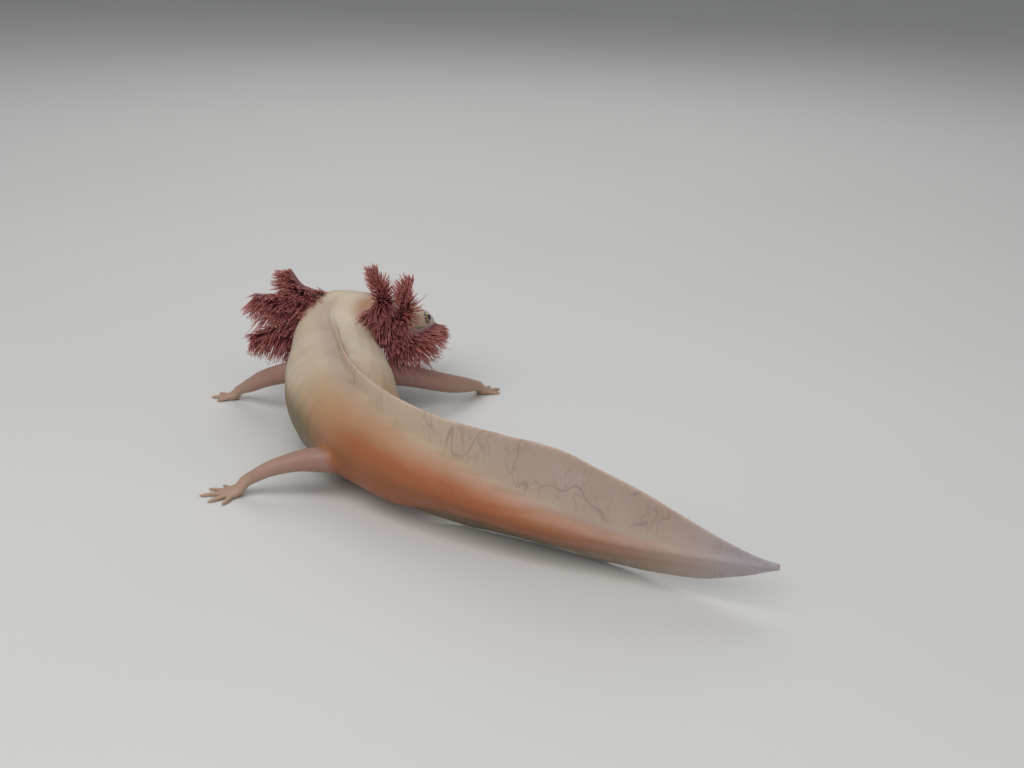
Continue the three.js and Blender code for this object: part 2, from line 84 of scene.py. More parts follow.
# middle, half the width, over, under, crest, keel, lean of the crest, sweep of the keel, tilt
BODY_SECTIONS = [
    ("nape", (-39.5, 50.0, 23.2), 14.0, 9.8, 10.0, 0.4, 0, 0, 0, 4),
    ("shoulders", (-39.2, 41.5, 20.6), 13.8, 10.8, 11.8, 0.9, 0, 0, 0, 3),
    ("chest", (-37.4, 30.0, 19.0), 15.4, 12.2, 14.8, 1.5, 0, 0, 0, 1),
    ("belly", (-35.0, 17.0, 18.0), 16.4, 13.2, 16.2, 2.2, 0, 0, 0, 0),
    ("loins", (-31.6, 3.0, 17.4), 15.8, 13.0, 16.0, 3.2, 0, 0, 0, 0),
    ("flanks", (-26.4, -10.0, 16.4), 14.0, 12.2, 14.4, 4.6, 0, 0, 0, 0),
    ("hips", (-19.0, -22.5, 15.4), 11.8, 11.0, 12.2, 6.4, 0, 0, 0, 0),
    ("vent", (-9.8, -34.0, 14.6), 9.6, 9.9, 10.8, 8.4, 1.2, 0.6, 1.0, 0),
    ("tail_root", (0.6, -43.2, 13.8), 7.9, 8.7, 8.2, 10.4, 5.4, 1.4, 6.5, 0),
    ("tail_broad", (14.2, -53.0, 12.6), 6.2, 7.0, 6.4, 14.2, 6.0, 2.4, 9.6, 0),
    ("tail_high", (28.8, -61.2, 11.6), 4.6, 5.4, 4.8, 16.6, 6.6, 3.0, 10.2, 0),
    ("tail_sloping", (40.0, -66.9, 11.5), 3.1, 4.0, 3.7, 14.8, 7.4, 2.8, 9.0, 0),
    ("tail_narrow", (50.0, -71.6, 11.7), 2.3, 3.0, 2.8, 11.8, 7.2, 2.2, 6.8, 0),
    ("tail_thin", (62.0, -76.8, 12.0), 1.6, 2.1, 2.0, 6.6, 6.0, 1.4, 4.4, 0),
    ("tail_point", (73.0, -80.6, 12.3), 1.0, 1.3, 1.3, 2.0, 2.8, 0.6, 1.8, 0),
    ("tail_tip", (80.6, -82.9, 12.6), 0.5, 0.6, 0.6, 0.3, 0.3, 0, 0, 0),
]

# 2 draws the flesh as an ellipse, and less draws it out to an edge at top and bottom.
TRUNK_SQUARE = 2.1
TAIL_SQUARE = 1.6

# middle, half the width, over and under, from inside the body to the wrist or ankle
LEGS = {
    "arm_left": [
        ((-44.0, 41.0, 15.0), 4.0, 4.0, 4.0),
        ((-54.0, 42.5, 13.2), 3.2, 3.3, 3.3),
        ((-62.5, 45.5, 9.8), 2.7, 2.8, 2.8),
        ((-67.3, 48.8, 6.4), 2.4, 2.3, 2.3),
        ((-71.5, 51.6, 3.6), 2.1, 1.6, 1.6),
    ],
    "arm_right": [
        ((-31.0, 41.0, 15.0), 4.0, 4.0, 4.0),
        ((-17.0, 44.5, 12.4), 3.3, 3.4, 3.4),
        ((-4.0, 51.6, 7.6), 3.0, 3.0, 3.0),
        ((1.2, 56.6, 5.4), 2.6, 2.4, 2.4),
        ((4.8, 61.4, 3.6), 2.1, 1.6, 1.6),
    ],
    "leg_left": [
        ((-24.0, -21.0, 12.4), 5.2, 4.8, 4.8),
        ((-33.5, -22.0, 11.6), 4.2, 3.9, 3.9),
        ((-42.0, -22.0, 10.6), 3.0, 2.9, 2.9),
        ((-50.0, -22.4, 8.2), 2.3, 2.2, 2.2),
        ((-56.5, -21.8, 4.4), 2.0, 1.7, 1.7),
    ],
    "leg_right": [
        ((-15.0, -23.0, 13.0), 5.2, 4.6, 4.6),
        ((-6.5, -16.5, 11.8), 3.8, 3.5, 3.5),
        ((1.6, -14.6, 9.6), 2.9, 2.8, 2.8),
        ((5.8, -19.4, 6.8), 2.3, 2.2, 2.2),
        ((4.8, -25.4, 3.8), 2.0, 1.7, 1.7),
    ],
}

# leg, heading and spread in degrees, length and half-width of the palm, lengths of the digits
PAWS = [
    ("arm_left", 160, 84, 3.8, 2.7, (3.8, 5.6, 5.2, 3.8)),
    ("arm_right", 52, 84, 3.8, 2.7, (3.8, 5.2, 5.6, 3.8)),
    ("leg_left", 190, 118, 5.0, 3.3, (5.2, 6.8, 7.6, 6.6, 4.8)),
    ("leg_right", 188, 84, 5.0, 3.3, (4.8, 6.6, 7.6, 6.8, 5.2)),
]
PALM_AHEAD = 0.35  # from the wrist or ankle to the start of the palm or sole
PALM_ARCH = 0.5  # of its length, how far its outer digits start behind the middle ones
PALM_FAN = 1.4  # half-widths from its first digit to its last
# share of the way along the palm, share of its half-width, height of its middle, over and under
PALM = [
    (0.0, 0.66, None, 1.5, 1.5),
    (0.45, 0.85, 1.7, 1.4, 1.8),
    (0.85, 1.0, 1.1, 1.15, 1.3),
    (1.15, 0.75, 0.75, 0.75, 0.9),
]
DIGIT_RADIUS = 0.95
DIGIT_THINNING = 0.97  # from each digit to the next
DIGIT_FLATNESS = 0.9
# share of the way along a digit, thickness and height of its middle in digit radii
DIGIT = [
    (-0.3, 0.95, 1.4),
    (0.15, 0.86, 0.95),
    (0.5, 0.84, 0.68),
    (0.82, 0.66, 0.52),
    (1.0, 0.42, 0.42),
]

# For each gill: root, bend and tip of its stalk, the way its fringe hangs, the length of the fringe,
# the degrees that its rows open to each side, and how far its filaments lean along the stalk at
# the root and at the tip.
GILLS = {
    "left_lower": dict(
        path=((-45.0, 62.5, 20.8), (-57.0, 58.5, 21.6), (-67.6, 55.6, 20.3)),
        hang=(0.1, -0.8, -0.4), fringe=11.5, spread=108, lean=(0.1, 0.6),
    ),
    "left_middle": dict(
        path=((-44.5, 64.5, 25.4), (-57.5, 62.0, 30.6), (-67.0, 58.6, 33.4)),
        hang=(-0.2, -0.85, -0.5), fringe=13.5, spread=100, lean=(0.1, 0.6),
    ),
    "left_upper": dict(
        path=((-44.0, 65.5, 30.2), (-52.6, 62.0, 34.4), (-56.0, 60.8, 41.4)),
        hang=(-0.6, -0.75, -0.2), fringe=9.5, spread=96, lean=(0.0, 0.6),
    ),
    "right_lower": dict(
        path=((-26.0, 48.5, 22.4), (-15.6, 47.4, 24.2), (-8.6, 52.0, 27.4)),
        hang=(-0.1, -0.75, -0.6), fringe=11.0, spread=80, lean=(0.0, 0.5),
    ),
    "right_middle": dict(
        path=((-26.5, 49.0, 27.4), (-18.8, 47.4, 32.4), (-17.0, 52.0, 40.0)),
        hang=(-0.2, -0.8, -0.5), fringe=9.0, spread=60, lean=(-0.5, 1.1),
    ),
    "right_upper": dict(
        path=((-27.5, 50.0, 31.6), (-24.8, 48.4, 35.8), (-28.6, 55.0, 42.8)),
        hang=(0.25, -0.9, -0.2), fringe=8.5, spread=62, lean=(-0.9, 0.55),
    ),
}
STALK = (2.5, 2.0, 0.8)  # half the thickness of a stalk at its root, bend and tip

# the spacing of the rings on each kind of tube, and the rungs down each side of a ring
RINGS = {"spine": (1.7, 21), "legs": (1.6, 9), "palm": (0.9, 8), "digit": (0.8, 6), "stalks": (1.2, 8)}
SPINE_EASE = 1.2  # stations to each side over which the turn of the spine's sections is evened out

MOUTH_DROP = 1.2  # from the middle of the head down to the mouth
MOUTH_FRONT = 31  # ahead of the gills
MOUTH_CORNER = 12.5
EYE_AHEAD = 0.4  # of the way from the section at the eyes to the muzzle
EYE_OUT = 0.92  # of the half-width of the head
EYE_UP = 0.32  # of the height of the head over its middle
EYE_DOME = 0.07  # of its radius, how far the front of an eye stands out
NOSTRIL = (29.6, 4.4, 1.6)  # ahead of the gills, out from the middle and over it

# the lips: height over the line of the mouth, how far they stand out, width
LIPS = ((1.1, 0.32, 0.8), (-1.3, -0.18, 0.9))
# forms on top of the head: how far they stand out, ahead of the gills, out from the middle, times
# longer than wide, width, height over the middle where they start
HEAD_FORMS = {
    "brow": (0.55, 19.5, 8.2, 1.0, 3.4, 1),
    "hollow_between_eyes": (-0.35, 22, 0, 1.6, 3.2, 1),
    "jaw_muscle": (0.6, 6, 10.5, 1.5, 4.0, 2),
    "parting": (-0.4, 5, 0, 2.4, 2.6, 2),
}
THROAT_FOLD = 0.7
RIB_GROOVES = 12
GROOVE_WIDTH = 0.75
SIDE_LINE = 0.10  # depth of the line along the side of the tail
UNEVENNESS = 0.14  # of the skin, in lumps of the next size
LUMP = 7.0

CAMERA_AT = (16.2, -401.52, 172.9)
CAMERA_DIP = math.radians(20)
CAMERA_ROLL = math.radians(1.5)
FOCAL_PIXELS = 1500
FRAME_PIXELS = 1024
SENSOR = 36

# place of each light in metres, its size in metres and its power in watts
LIGHTS = {
    "key": ((-0.28, -0.50, 0.72), 0.8, 5.6),
    "fill": ((0.6, -0.6, 0.4), 0.8, 1.3),
    "back": ((0.0, 0.6, 0.6), 0.6, 1.6),
}
SKY = (0.85, 0.88, 0.92, 1)  # colour of the light from all round
SKY_STRENGTH = 0.24
FLOOR_SIZE = 6.0  # metres


# ---------------------------------------------------------------- sizes and colours a user may change

def length(name, description, default):
    """A length property, in metres, whose default is given in millimetres."""
    return bpy.props.FloatProperty(
        name=name, description=description, default=default * MM, min=0.0, precision=5, unit="LENGTH"
    )


def colour(name, description, default):
    """A colour property, in linear red, green and blue."""
    return bpy.props.FloatVectorProperty(
        name=name, description=description, default=default, size=3, min=0.0, max=1.0, subtype="COLOR"
    )


class AxolotlSizes(bpy.types.PropertyGroup):
    """Sizes of what is laid over the solids."""

    grid: length("Skin grid", "Spacing of the grid that the skin is first made on", 0.3)
    eye: length("Eye radius", "Radius of an eyeball", 1.8)
    strand: length("Filament radius", "Radius of a gill filament at its root", 0.19)
    groove: length("Rib grooves", "Depth of the grooves between the ribs", 0.09)
    lip: length("Mouth", "Depth of the line of the mouth", 0.7)
    strands: bpy.props.IntProperty(
        name="Filaments", description="Number of filaments on one gill", default=600, min=10, max=1500
    )


class AxolotlColours(bpy.types.PropertyGroup):
    """Colours of the animal and the stage."""

    back: colour("Back", "Top of the head and front of the trunk", (0.62, 0.515, 0.38))
    # painted shade: a greyish mauve laid along the left foot of the crest, on the side the crest shades,
    # and the colour the crest itself starts from at the front of the trunk
    crest_shade: colour("Crest", "Shade along the foot of the crest", (0.4, 0.31, 0.26))
    flank: colour("Flank", "Sides of the trunk", (0.5, 0.39, 0.275))
    peach: colour("Rear trunk", "Rear half of the trunk", (0.455, 0.28, 0.15))
    # belly: the underside's own tone, carried up the lower flank as painted shade where the side turns
    # away from the light
    belly: colour("Belly", "Underside", (0.15, 0.108, 0.041))
    glow: colour("Tail muscle, top", "Top of the muscle seen through the tail", (0.375, 0.122, 0.04))
    muscle: colour("Tail muscle", "Muscle seen through the skin of the tail", (0.3, 0.095, 0.032))
    fin: colour("Fin", "Crest and tail fin", (0.46, 0.355, 0.295))
    tip: colour("Tail tip", "End of the tail, where the skin is thinnest", (0.4, 0.365, 0.385))
    vein: colour("Veins", "Fine branching veins of the fin", (0.3, 0.21, 0.185))
    limb: colour("Limbs", "Arms and legs", (0.35, 0.195, 0.155))
    paw: colour("Hands and feet", "Thin skin of the hands and feet", (0.45, 0.3, 0.215))
    gill_stalk: colour("Gill stalks", "Fleshy stalks of the gills", (0.3, 0.15, 0.15))
    gill_root: colour("Filament roots", "Gill filaments where they leave the stalk", (0.3, 0.082, 0.09))
    gill_tip: colour("Filament tips", "Gill filaments at their ends", (0.68, 0.225, 0.22))
    iris: colour("Iris", "Ring round the pupil", (0.55, 0.36, 0.08))
    floor: colour("Floor", "Floor of the stage", (0.72, 0.71, 0.69))


# ---------------------------------------------------------------- forms: smooth curves with sections

def smoothstep(low, high, value):
    """0 under low, 1 over high and smooth between; the other way round where low is over high."""
    share = np.clip((value - low) / (high - low), 0.0, 1.0)
    return share * share * (3 - 2 * share)


def bell(distance, width):
    """1 at no distance, falling smoothly to nothing at about twice the width."""
    return np.exp(-((distance / width) ** 2))


def unit(vector):
    return vector / np.linalg.norm(vector)


def turned(vector, axis, angle):
    """vector turned about a unit axis it is square to."""
    return vector * math.cos(angle) + np.cross(axis, vector) * math.sin(angle)


class Form:
    """Stations with a smooth curve through their middles and smooth sizes between them."""

    KEYS = ("half", "above", "below", "square", "crest", "keel", "lean", "sweep", "tilt")

    def __init__(self, stations, facing=1, ease=0.0):
        self.middles = np.array([station["at"] for station in stations], dtype=float) - MIDDLE
        self.sizes = {key: [station.get(key, 0.0) for station in stations] for key in self.KEYS}
        self.facing = facing
        self.ease = ease
        self.last = len(stations) - 1

    def point(self, t):
        """The point of the centripetal curve at position t, in stations."""
        i = min(int(t), self.last - 1)
        b, c = self.middles[i], self.middles[i + 1]
        a = self.middles[i - 1] if i > 0 else 2 * b - c
        d = self.middles[i + 2] if i + 2 <= self.last else 2 * c - b
        before, here, after = (math.sqrt(np.linalg.norm(q - p)) for p, q in ((a, b), (b, c), (c, d)))
        start = here * ((b - a) / before - (c - a) / (before + here) + (c - b) / here)
        end = here * ((c - b) / here - (d - b) / (here + after) + (d - c) / after)
        u = t - i
        return b + u * (start + u * (3 * (c - b) - 2 * start - end + u * (2 * (b - c) + start + end)))

    def tangent(self, t):
        step = 1e-3
        return unit(self.point(min(t + step, self.last)) - self.point(max(t - step, 0)))

    def size(self, key, t):
        i = min(int(t), self.last - 1)
        u = t - i
        a, b, c, d = (self.sizes[key][min(max(i + n, 0), self.last)] for n in (-1, 0, 1, 2))
        smooth = b + 0.5 * u * (c - a + u * (2 * a - 5 * b + 4 * c - d + u * (3 * (b - c) + d - a)))
        return max(smooth, min(b, c))

    def section(self, t):
        """The section at position t: its sizes, its middle, and its left, up and forward."""
        section = {key: self.size(key, t) for key in self.KEYS}
        reaches = (-self.ease, -self.ease / 2, 0, self.ease / 2, self.ease)
        forward = self.facing * unit(sum(self.tangent(min(max(t + r, 0), self.last)) for r in reaches))
        left = unit(np.cross((0, 0, 1), forward))
        left = turned(left, forward, -math.radians(section["tilt"]))
        section.update(at=self.point(t), forward=forward, left=left, up=np.cross(forward, left))
        return section


def half_thickness(section, v):
    """Half the thickness of a section at height v over its middle, flesh and fin together."""
    reach, fin = (section["above"], section["crest"]) if v >= 0 else (section["below"], section["keel"])
    share = min(abs(v) / reach, 1.0)
    square = section["square"] or TRUNK_SQUARE
    flesh = section["half"] * (1 - share**square) ** (1 / square)
    root = min(FIN_ROOT, FIN_ROOT_SHARE * section["half"])
    along_fin = min(max((abs(v) - FIN_FROM * reach) / ((1 - FIN_FROM) * reach + fin), 0.0), 1.0)
    blade = root + (FIN_EDGE - root) * along_fin**FIN_HOLLOW if fin > 0 else 0.0
    return max(math.hypot(flesh, blade * share**4), min(FIN_EDGE, section["half"]))


def lean_at(section, v):
    """How far the middle of a section stands to the left at height v."""
    if v >= 0:
        return section["lean"] * (v / (section["above"] + section["crest"])) ** 2
    return -section["sweep"] * (v / (section["below"] + section["keel"])) ** 2


def outline(section, rungs):
    """The ring of points round a section, down its left side and up its right."""
    top = section["above"] + section["crest"]
    bottom = -section["below"] - section["keel"]
    turns = [math.cos(math.pi * n / rungs) for n in range(rungs + 1)]
    heights = [(top + bottom) / 2 + (top - bottom) / 2 * turn for turn in turns]
    sides = []
    for side in (1, -1):
        across = [side * half_thickness(section, v) + lean_at(section, v) for v in heights]
        sides.append([
            section["at"] + v * section["up"] + offset * section["left"]
            for v, offset in zip(heights, across)
        ])
    return np.array(sides[0] + sides[1][::-1])


def rounded(ring, outward, depth):
    """Three more rings that close a tube with a rounded end."""
    middle = ring.mean(axis=0)
    angles = [math.radians(degrees) for degrees in (32, 60, 80)]
    return [middle + (ring - middle) * math.cos(a) + depth * math.sin(a) * outward for a in angles]


def steps_along(form, spacing):
    """Positions along a form, about spacing apart on its curve, every station among them."""
    positions = []
    for n in range(form.last):
        count = max(2, math.ceil(np.linalg.norm(form.middles[n + 1] - form.middles[n]) / spacing))
        positions += [n + step / count for step in range(count)]
    return positions + [form.last]


# ---------------------------------------------------------------- the animal's own forms

SNOUTWARD = np.array([
    math.cos(HEAD_TURN) * math.cos(HEAD_DIP),
    math.sin(HEAD_TURN) * math.cos(HEAD_DIP),
    -math.sin(HEAD_DIP),
])

HEAD_KEYS = ("half", "above", "below", "square")
LIMB_KEYS = ("at", "half", "above", "below")
BODY_KEYS = ("at", "half", "above", "below", "crest", "keel", "lean", "sweep", "tilt")


def spine_form():
    """The head, trunk and tail as one form that runs from the lip to the tip of the tail."""
    stations = [
        dict(zip(HEAD_KEYS, sizes), at=HEAD_AT + ahead * SNOUTWARD, tilt=HEAD_TILT)
        for _, ahead, *sizes in HEAD_SECTIONS
    ]
    for name, *sizes in BODY_SECTIONS:
        square = TAIL_SQUARE if name.startswith("tail") else TRUNK_SQUARE
        stations.append(dict(zip(BODY_KEYS, sizes), square=square))
    return Form(stations, facing=-1, ease=SPINE_EASE)


SPINE = spine_form()
PLACE = {row[0]: n for n, row in enumerate(HEAD_SECTIONS + BODY_SECTIONS)}
HEAD = SPINE.section(PLACE["muzzle"])  # the head's own left, up and forward


def spine_rings():
    """The sections from the lip to the tip of the tail, and the ring round each."""
    spacing, rungs = RINGS["spine"]
    sections = [SPINE.section(t) for t in steps_along(SPINE, spacing)]
    return sections, [outline(section, rungs) for section in sections]


def leg_form(name):
    return Form([dict(zip(LIMB_KEYS, row)) for row in LEGS[name]])


def stalk_form(path):
    return Form([dict(at=at, half=r, above=r, below=r) for at, r in zip(path, STALK)])


def tube_rings(form, kind):
    """Rings along a form, with a rounded end."""
    spacing, rungs = RINGS[kind]
    rings = [outline(form.section(t), rungs) for t in steps_along(form, spacing)]
    end = form.section(form.last)
    return rings + rounded(rings[-1], end["forward"], 0.8 * end["half"])


def heading_of(degrees):
    return np.array([math.cos(math.radians(degrees)), math.sin(math.radians(degrees)), 0.0])


def palm_rings(wrist, along, palm_length, palm_half):
    """The rings of a palm or sole, level with the ground from its second station on."""
    stations = []
    for share, wide, lift, above, below in PALM:
        at = wrist + share * palm_length * along
        if lift is not None:
            at[2] = lift
        stations.append(dict(at=at, half=wide * palm_half, above=above, below=below))
    return tube_rings(Form(stations), "palm")


def digit_rings(root, heading, size, radius):
    """The rings of a digit that runs from its root along the ground."""
    stations = []
    for share, thick, lift in DIGIT:
        at = root + share * size * heading_of(heading)
        at[2] = lift * radius
        half = thick * radius
        stations.append(dict(at=at, half=half, above=DIGIT_FLATNESS * half, below=DIGIT_FLATNESS * half))
    return tube_rings(Form(stations), "digit")


def paw_tubes(leg, heading, spread, palm_length, palm_half, digits):
    """The palm or sole and its digits, fanned over the spread."""
    along = heading_of(heading)
    across = np.cross(along, (0, 0, 1))
    wrist = np.array(LEGS[leg][-1][0]) + PALM_AHEAD * along
    tubes = [palm_rings(wrist, along, palm_length, palm_half)]
    for n, size in enumerate(digits):
        side = n / (len(digits) - 1) - 0.5
        root = wrist + palm_length * (1 - PALM_ARCH * abs(side)) * along
        root = root + PALM_FAN * side * palm_half * across
        tubes.append(digit_rings(root, heading - spread * side, size, DIGIT_RADIUS * DIGIT_THINNING**n))
    return tubes


# ---------------------------------------------------------------- modelling helpers

def alone(piece):
    """Makes piece the only selected and active object."""
    if bpy.context.mode != "OBJECT":
        bpy.ops.object.mode_set(mode="OBJECT")
    bpy.ops.object.select_all(action="DESELECT")
    piece.select_set(True)
    bpy.context.view_layer.objects.active = piece


def tube(name, rings):
    """A closed tube: a circle, extruded for each further ring, set on its outline, and filled."""
    bpy.ops.object.select_all(action="DESELECT")
    bpy.ops.mesh.primitive_circle_add(vertices=len(rings[0]), radius=MM, fill_type="NOTHING")
    piece = bpy.context.active_object
    piece.name = name
    bpy.ops.object.mode_set(mode="EDIT")
    bpy.context.tool_settings.mesh_select_mode = (True, True, False)
    mesh = bmesh.from_edit_mesh(piece.data)
    place = mesh.verts.layers.int.new("place")
    for n, vert in enumerate(mesh.verts):
        vert[place] = n
    for number, ring in enumerate(rings):
        if number:
            bpy.ops.mesh.extrude_region_move()
        mesh = bmesh.from_edit_mesh(piece.data)
        place = mesh.verts.layers.int["place"]
        for vert in mesh.verts:
            if vert.select:
                vert.co = Vector(ring[vert[place]]) * MM
        if number == 0:
            bmesh.update_edit_mesh(piece.data)
    bpy.ops.mesh.select_all(action="DESELECT")
    bpy.ops.mesh.select_non_manifold()
    bpy.ops.mesh.edge_face_add()
    bpy.ops.mesh.select_all(action="SELECT")
    bpy.ops.mesh.normals_make_consistent(inside=False)
    bpy.ops.object.mode_set(mode="OBJECT")
    return piece


def joined(pieces, name):
    """One object made of all the pieces."""
    alone(pieces[0])
    for piece in pieces:
        piece.select_set(True)
    bpy.ops.object.join()
    whole = bpy.context.active_object
    whole.name = whole.data.name = name
    return whole


def modified(piece, kind, **settings):
    """Adds one modifier to piece, sets it and applies it."""
    alone(piece)
    modifier = piece.modifiers.new(kind.title(), kind)
    for key, value in settings.items():
        setattr(modifier, key, value)
    bpy.ops.object.modifier_apply(modifier=modifier.name)


def points_of(mesh):
    """The mesh's vertices as an array in millimetres."""
    points = np.empty(3 * len(mesh.vertices), dtype=np.float32)
    mesh.vertices.foreach_get("co", points)
    return points.reshape(-1, 3).astype(float) / MM


def normals_of(mesh):
    normals = np.empty(3 * len(mesh.vertices), dtype=np.float32)
    mesh.vertex_normals.foreach_get("vector", normals)
    return normals.reshape(-1, 3).astype(float)


def put_points(mesh, points):
    mesh.vertices.foreach_set("co", (points * MM).astype(np.float32).ravel())
    mesh.update()


def put_attribute(mesh, name, values):
    attribute = mesh.attributes.new(name, "FLOAT", "POINT")
    attribute.data.foreach_set("value", np.asarray(values, dtype=np.float32))


def put_group(piece, name, weights):
    """A vertex group with one weight for each vertex, in sixteenths."""
    group = piece.vertex_groups.new(name=name)
    levels = np.round(weights * 16).astype(int)
    for level in range(1, 17):
        chosen = np.nonzero(levels == level)[0]
        if len(chosen):
            group.add(chosen.tolist(), level / 16, "REPLACE")


def wall_faces(start, steps, around):
    """The faces round a tube whose rings of vertices follow each other from number start."""
    faces = []
    for row in range(start, start + steps * around, around):
        for i in range(around):
            j = (i + 1) % around
            faces.append((row + i, row + j, row + around + j, row + around + i))
    return faces


def surface_of(tubes):
    """A tree of the faces of some tubes, to measure distances to, in millimetres."""
    points, faces = [], []
    for rings in tubes:
        faces += wall_faces(len(points), len(rings) - 1, len(rings[0]))
        for ring in rings:
            points += [tuple(point) for point in ring]
    return BVHTree.FromPolygons(points, faces)


def distances(points, surface, chosen=None):
    """The distance of each chosen point to a surface, and a large one for the rest."""
    found = np.full(len(points), 99.0)
    numbers = range(len(points)) if chosen is None else np.nonzero(chosen)[0]
    for n in numbers:
        found[n] = surface.find_nearest(points[n])[3]
    return found


class SpinePlaces:
    """Where each point of a mesh is along the spine, and how high over and left of its middle."""

    def __init__(self, points, sections, rings):
        tree = kdtree.KDTree(sum(len(ring) for ring in rings))
        for n, ring in enumerate(rings):
            for point in ring:
                tree.insert(point, n)
        tree.balance()
        nearest = np.array([tree.find(point)[1] for point in points])
        stack = {key: np.array([section[key] for section in sections]) for key in sections[0]}
        ahead, high, left = self.offsets(points, stack, nearest)
        # forward is towards the snout, and so towards the section before
        other = np.clip(nearest - np.sign(ahead).astype(int), 0, len(sections) - 1)
        ahead2, high2, left2 = self.offsets(points, stack, other)
        gap = ahead - ahead2
        share = np.where(np.abs(gap) > 1e-9, ahead / np.where(gap == 0, 1, gap), 0.0).clip(0, 1)
        steps = np.linalg.norm(np.diff(stack["at"], axis=0), axis=1)
        travel = np.concatenate([[0], np.cumsum(steps)])

        def between(a, b):
            return a + share * (b - a)

        self.travel = between(travel[nearest], travel[other])  # millimetres from the lip
        self.length = travel[-1]
        self.high = between(high, high2)
        self.left = between(left, left2)
        for key in ("above", "below", "crest", "keel"):
            setattr(self, key, between(stack[key][nearest], stack[key][other]))

    @staticmethod
    def offsets(points, stack, numbers):
        """How far each point is ahead of, over and left of the middle of its numbered section."""
        away = points - stack["at"][numbers]
        return [np.einsum("ij,ij->i", away, stack[key][numbers]) for key in ("forward", "up", "left")]


def head_places(points):
    """How far each point is ahead of the gills, left of the middle of the head and over it."""
    away = points - (HEAD_AT - MIDDLE)
    return away @ HEAD["forward"], away @ HEAD["left"], away @ HEAD["up"]


def eye_centre(side):
    eyes = SPINE.section(PLACE["eyes"] - EYE_AHEAD)
    return eyes["at"] + side * EYE_OUT * eyes["half"] * eyes["left"] + EYE_UP * eyes["above"] * eyes["up"]


def gaze_of(side):
    """The way an eye looks: out to its side, a little forward and up."""
    return unit(side * HEAD["left"] + 0.3 * HEAD["forward"] + 0.35 * HEAD["up"])


# ---------------------------------------------------------------- skin

FLESH_NODES = [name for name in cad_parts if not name.startswith("eye")]
SKIN_LIMIT = 190_000  # triangles
ROUGHENING = 0.03  # unevenness that keeps the thinning from making large triangles where skin is flat
JOINT_REACH = {"legs": 3.6, "stalks": 2.2}  # how far from a joint the skin is smoothed


def travel_of(place):
    """Millimetres along the spine from the lip to a station."""
    positions = np.arange(0, PLACE[place] + 0.01, 0.1)
    return sum(np.linalg.norm(SPINE.point(b) - SPINE.point(a)) for a, b in zip(positions, positions[1:]))


def carve_mouth(ahead, side, high, depth):
    """The line of the mouth, its lips and its raised corners, as a shift and the line's own mask."""
    back = np.clip((MOUTH_FRONT - ahead) / (MOUTH_FRONT - MOUTH_CORNER), 0, 1.2)
    mouth_high = -MOUTH_DROP - 0.5 + 0.9 * back**2
    on_mouth = smoothstep(MOUTH_CORNER - 1.5, MOUTH_CORNER + 2.0, ahead) * smoothstep(-9, -6, high)
    from_mouth = high - mouth_high
    line = bell(from_mouth, 0.42) * on_mouth
    shift = -depth * line
    for over, out, width in LIPS:
        shift += out * bell(from_mouth - over, width) * on_mouth
    corner = np.hypot(ahead - MOUTH_CORNER, high - mouth_high)
    shift += 0.3 * bell(corner, 2.4) * (side > 8)
    return shift, line


def carve_eye_rim(points, number, radius):
    """The raised rim and the socket of one eye, as a shift and the crease between them."""
    away = points - eye_centre(number)
    out = away @ gaze_of(number)
    across = np.sqrt(np.maximum((away**2).sum(axis=1) - out**2, 0))
    near = (out > -2.5) & (out < 3)
    rim = 0.30 * bell(across - radius - 0.25, 0.5)
    socket = 1.3 * smoothstep(radius - 0.1, radius - 0.7, across)
    return (rim - socket) * near, 0.75 * bell(across - radius + 0.1, 0.35) * near


def carve_head(points, sizes):
    """Mouth, nostrils, brows, cheeks, eye rims and throat fold. Returns the shift and the creases."""
    ahead, left, high = head_places(points)
    side = np.abs(left)
    shift, line = carve_mouth(ahead, side, high, sizes.lip / MM)
    nostril_ahead, nostril_out, nostril_up = NOSTRIL
    across = (ahead - nostril_ahead) ** 2 + (side - nostril_out) ** 2
    nostril = np.sqrt(across + (high - nostril_up) ** 2)
    pit = bell(nostril, 0.55)
    shift += 0.22 * bell(nostril - 1.0, 0.5) - 0.75 * pit
    for out, place, apart, longer, width, over in HEAD_FORMS.values():
        shift += out * bell(np.hypot((ahead - place) / longer, side - apart), width) * (high > over)
    fold = bell(ahead + 0.5 - 0.03 * left**2, 0.6) * (high < -3) * smoothstep(14, 9, side)
    shift -= THROAT_FOLD * fold
    crease = np.maximum.reduce([line, pit, THROAT_FOLD * fold])
    for number in (1, -1):
        rim, round_eye = carve_eye_rim(points, number, sizes.eye / MM)
        shift += rim
        crease = np.maximum(crease, round_eye)
    return shift, crease


def carve_trunk(places, sizes):
    """Grooves between the ribs and the line along the side of the tail, as a shift and creases."""
    start, end = travel_of("shoulders"), travel_of("hips")
    travel = places.travel
    phase = (travel - start) / (end - start) * RIB_GROOVES
    from_groove = np.abs(phase - np.round(phase)) * (end - start) / RIB_GROOVES
    slant = places.high / np.where(places.high > 0, places.above, places.below)
    on_ribs = smoothstep(start - 1, start + 5, travel) * smoothstep(end - 2, end - 22, travel)
    on_side = smoothstep(-0.85, -0.45, slant) * smoothstep(0.95, 0.5, slant)
    groove = bell(from_groove, GROOVE_WIDTH) * on_ribs * on_side
    tail = smoothstep(end, end + 14, travel) * smoothstep(places.length, places.length - 14, travel)
    side_line = bell(places.high + 0.12 * places.above, 0.55) * tail
    shift = -(sizes.groove / MM) * groove - SIDE_LINE * side_line
    return shift, np.maximum(0.15 * groove, 0.12 * side_line)


def carve(points, places, sizes):
    """The carving of head and trunk together, as a shift along the normals and the creases."""
    on_head = smoothstep(travel_of("shoulders"), travel_of("gills"), places.travel)
    head_shift, head_crease = carve_head(points, sizes)
    trunk_shift, trunk_crease = carve_trunk(places, sizes)
    return on_head * head_shift + trunk_shift, np.maximum(on_head * head_crease, trunk_crease)


def lumps(points, size):
    """Smooth noise from -1 to 1, with lumps of about the given size."""
    offset = Vector((7.3, 3.1, 5.7))
    return np.array([noise.noise(Vector(point) / size + offset) for point in points])


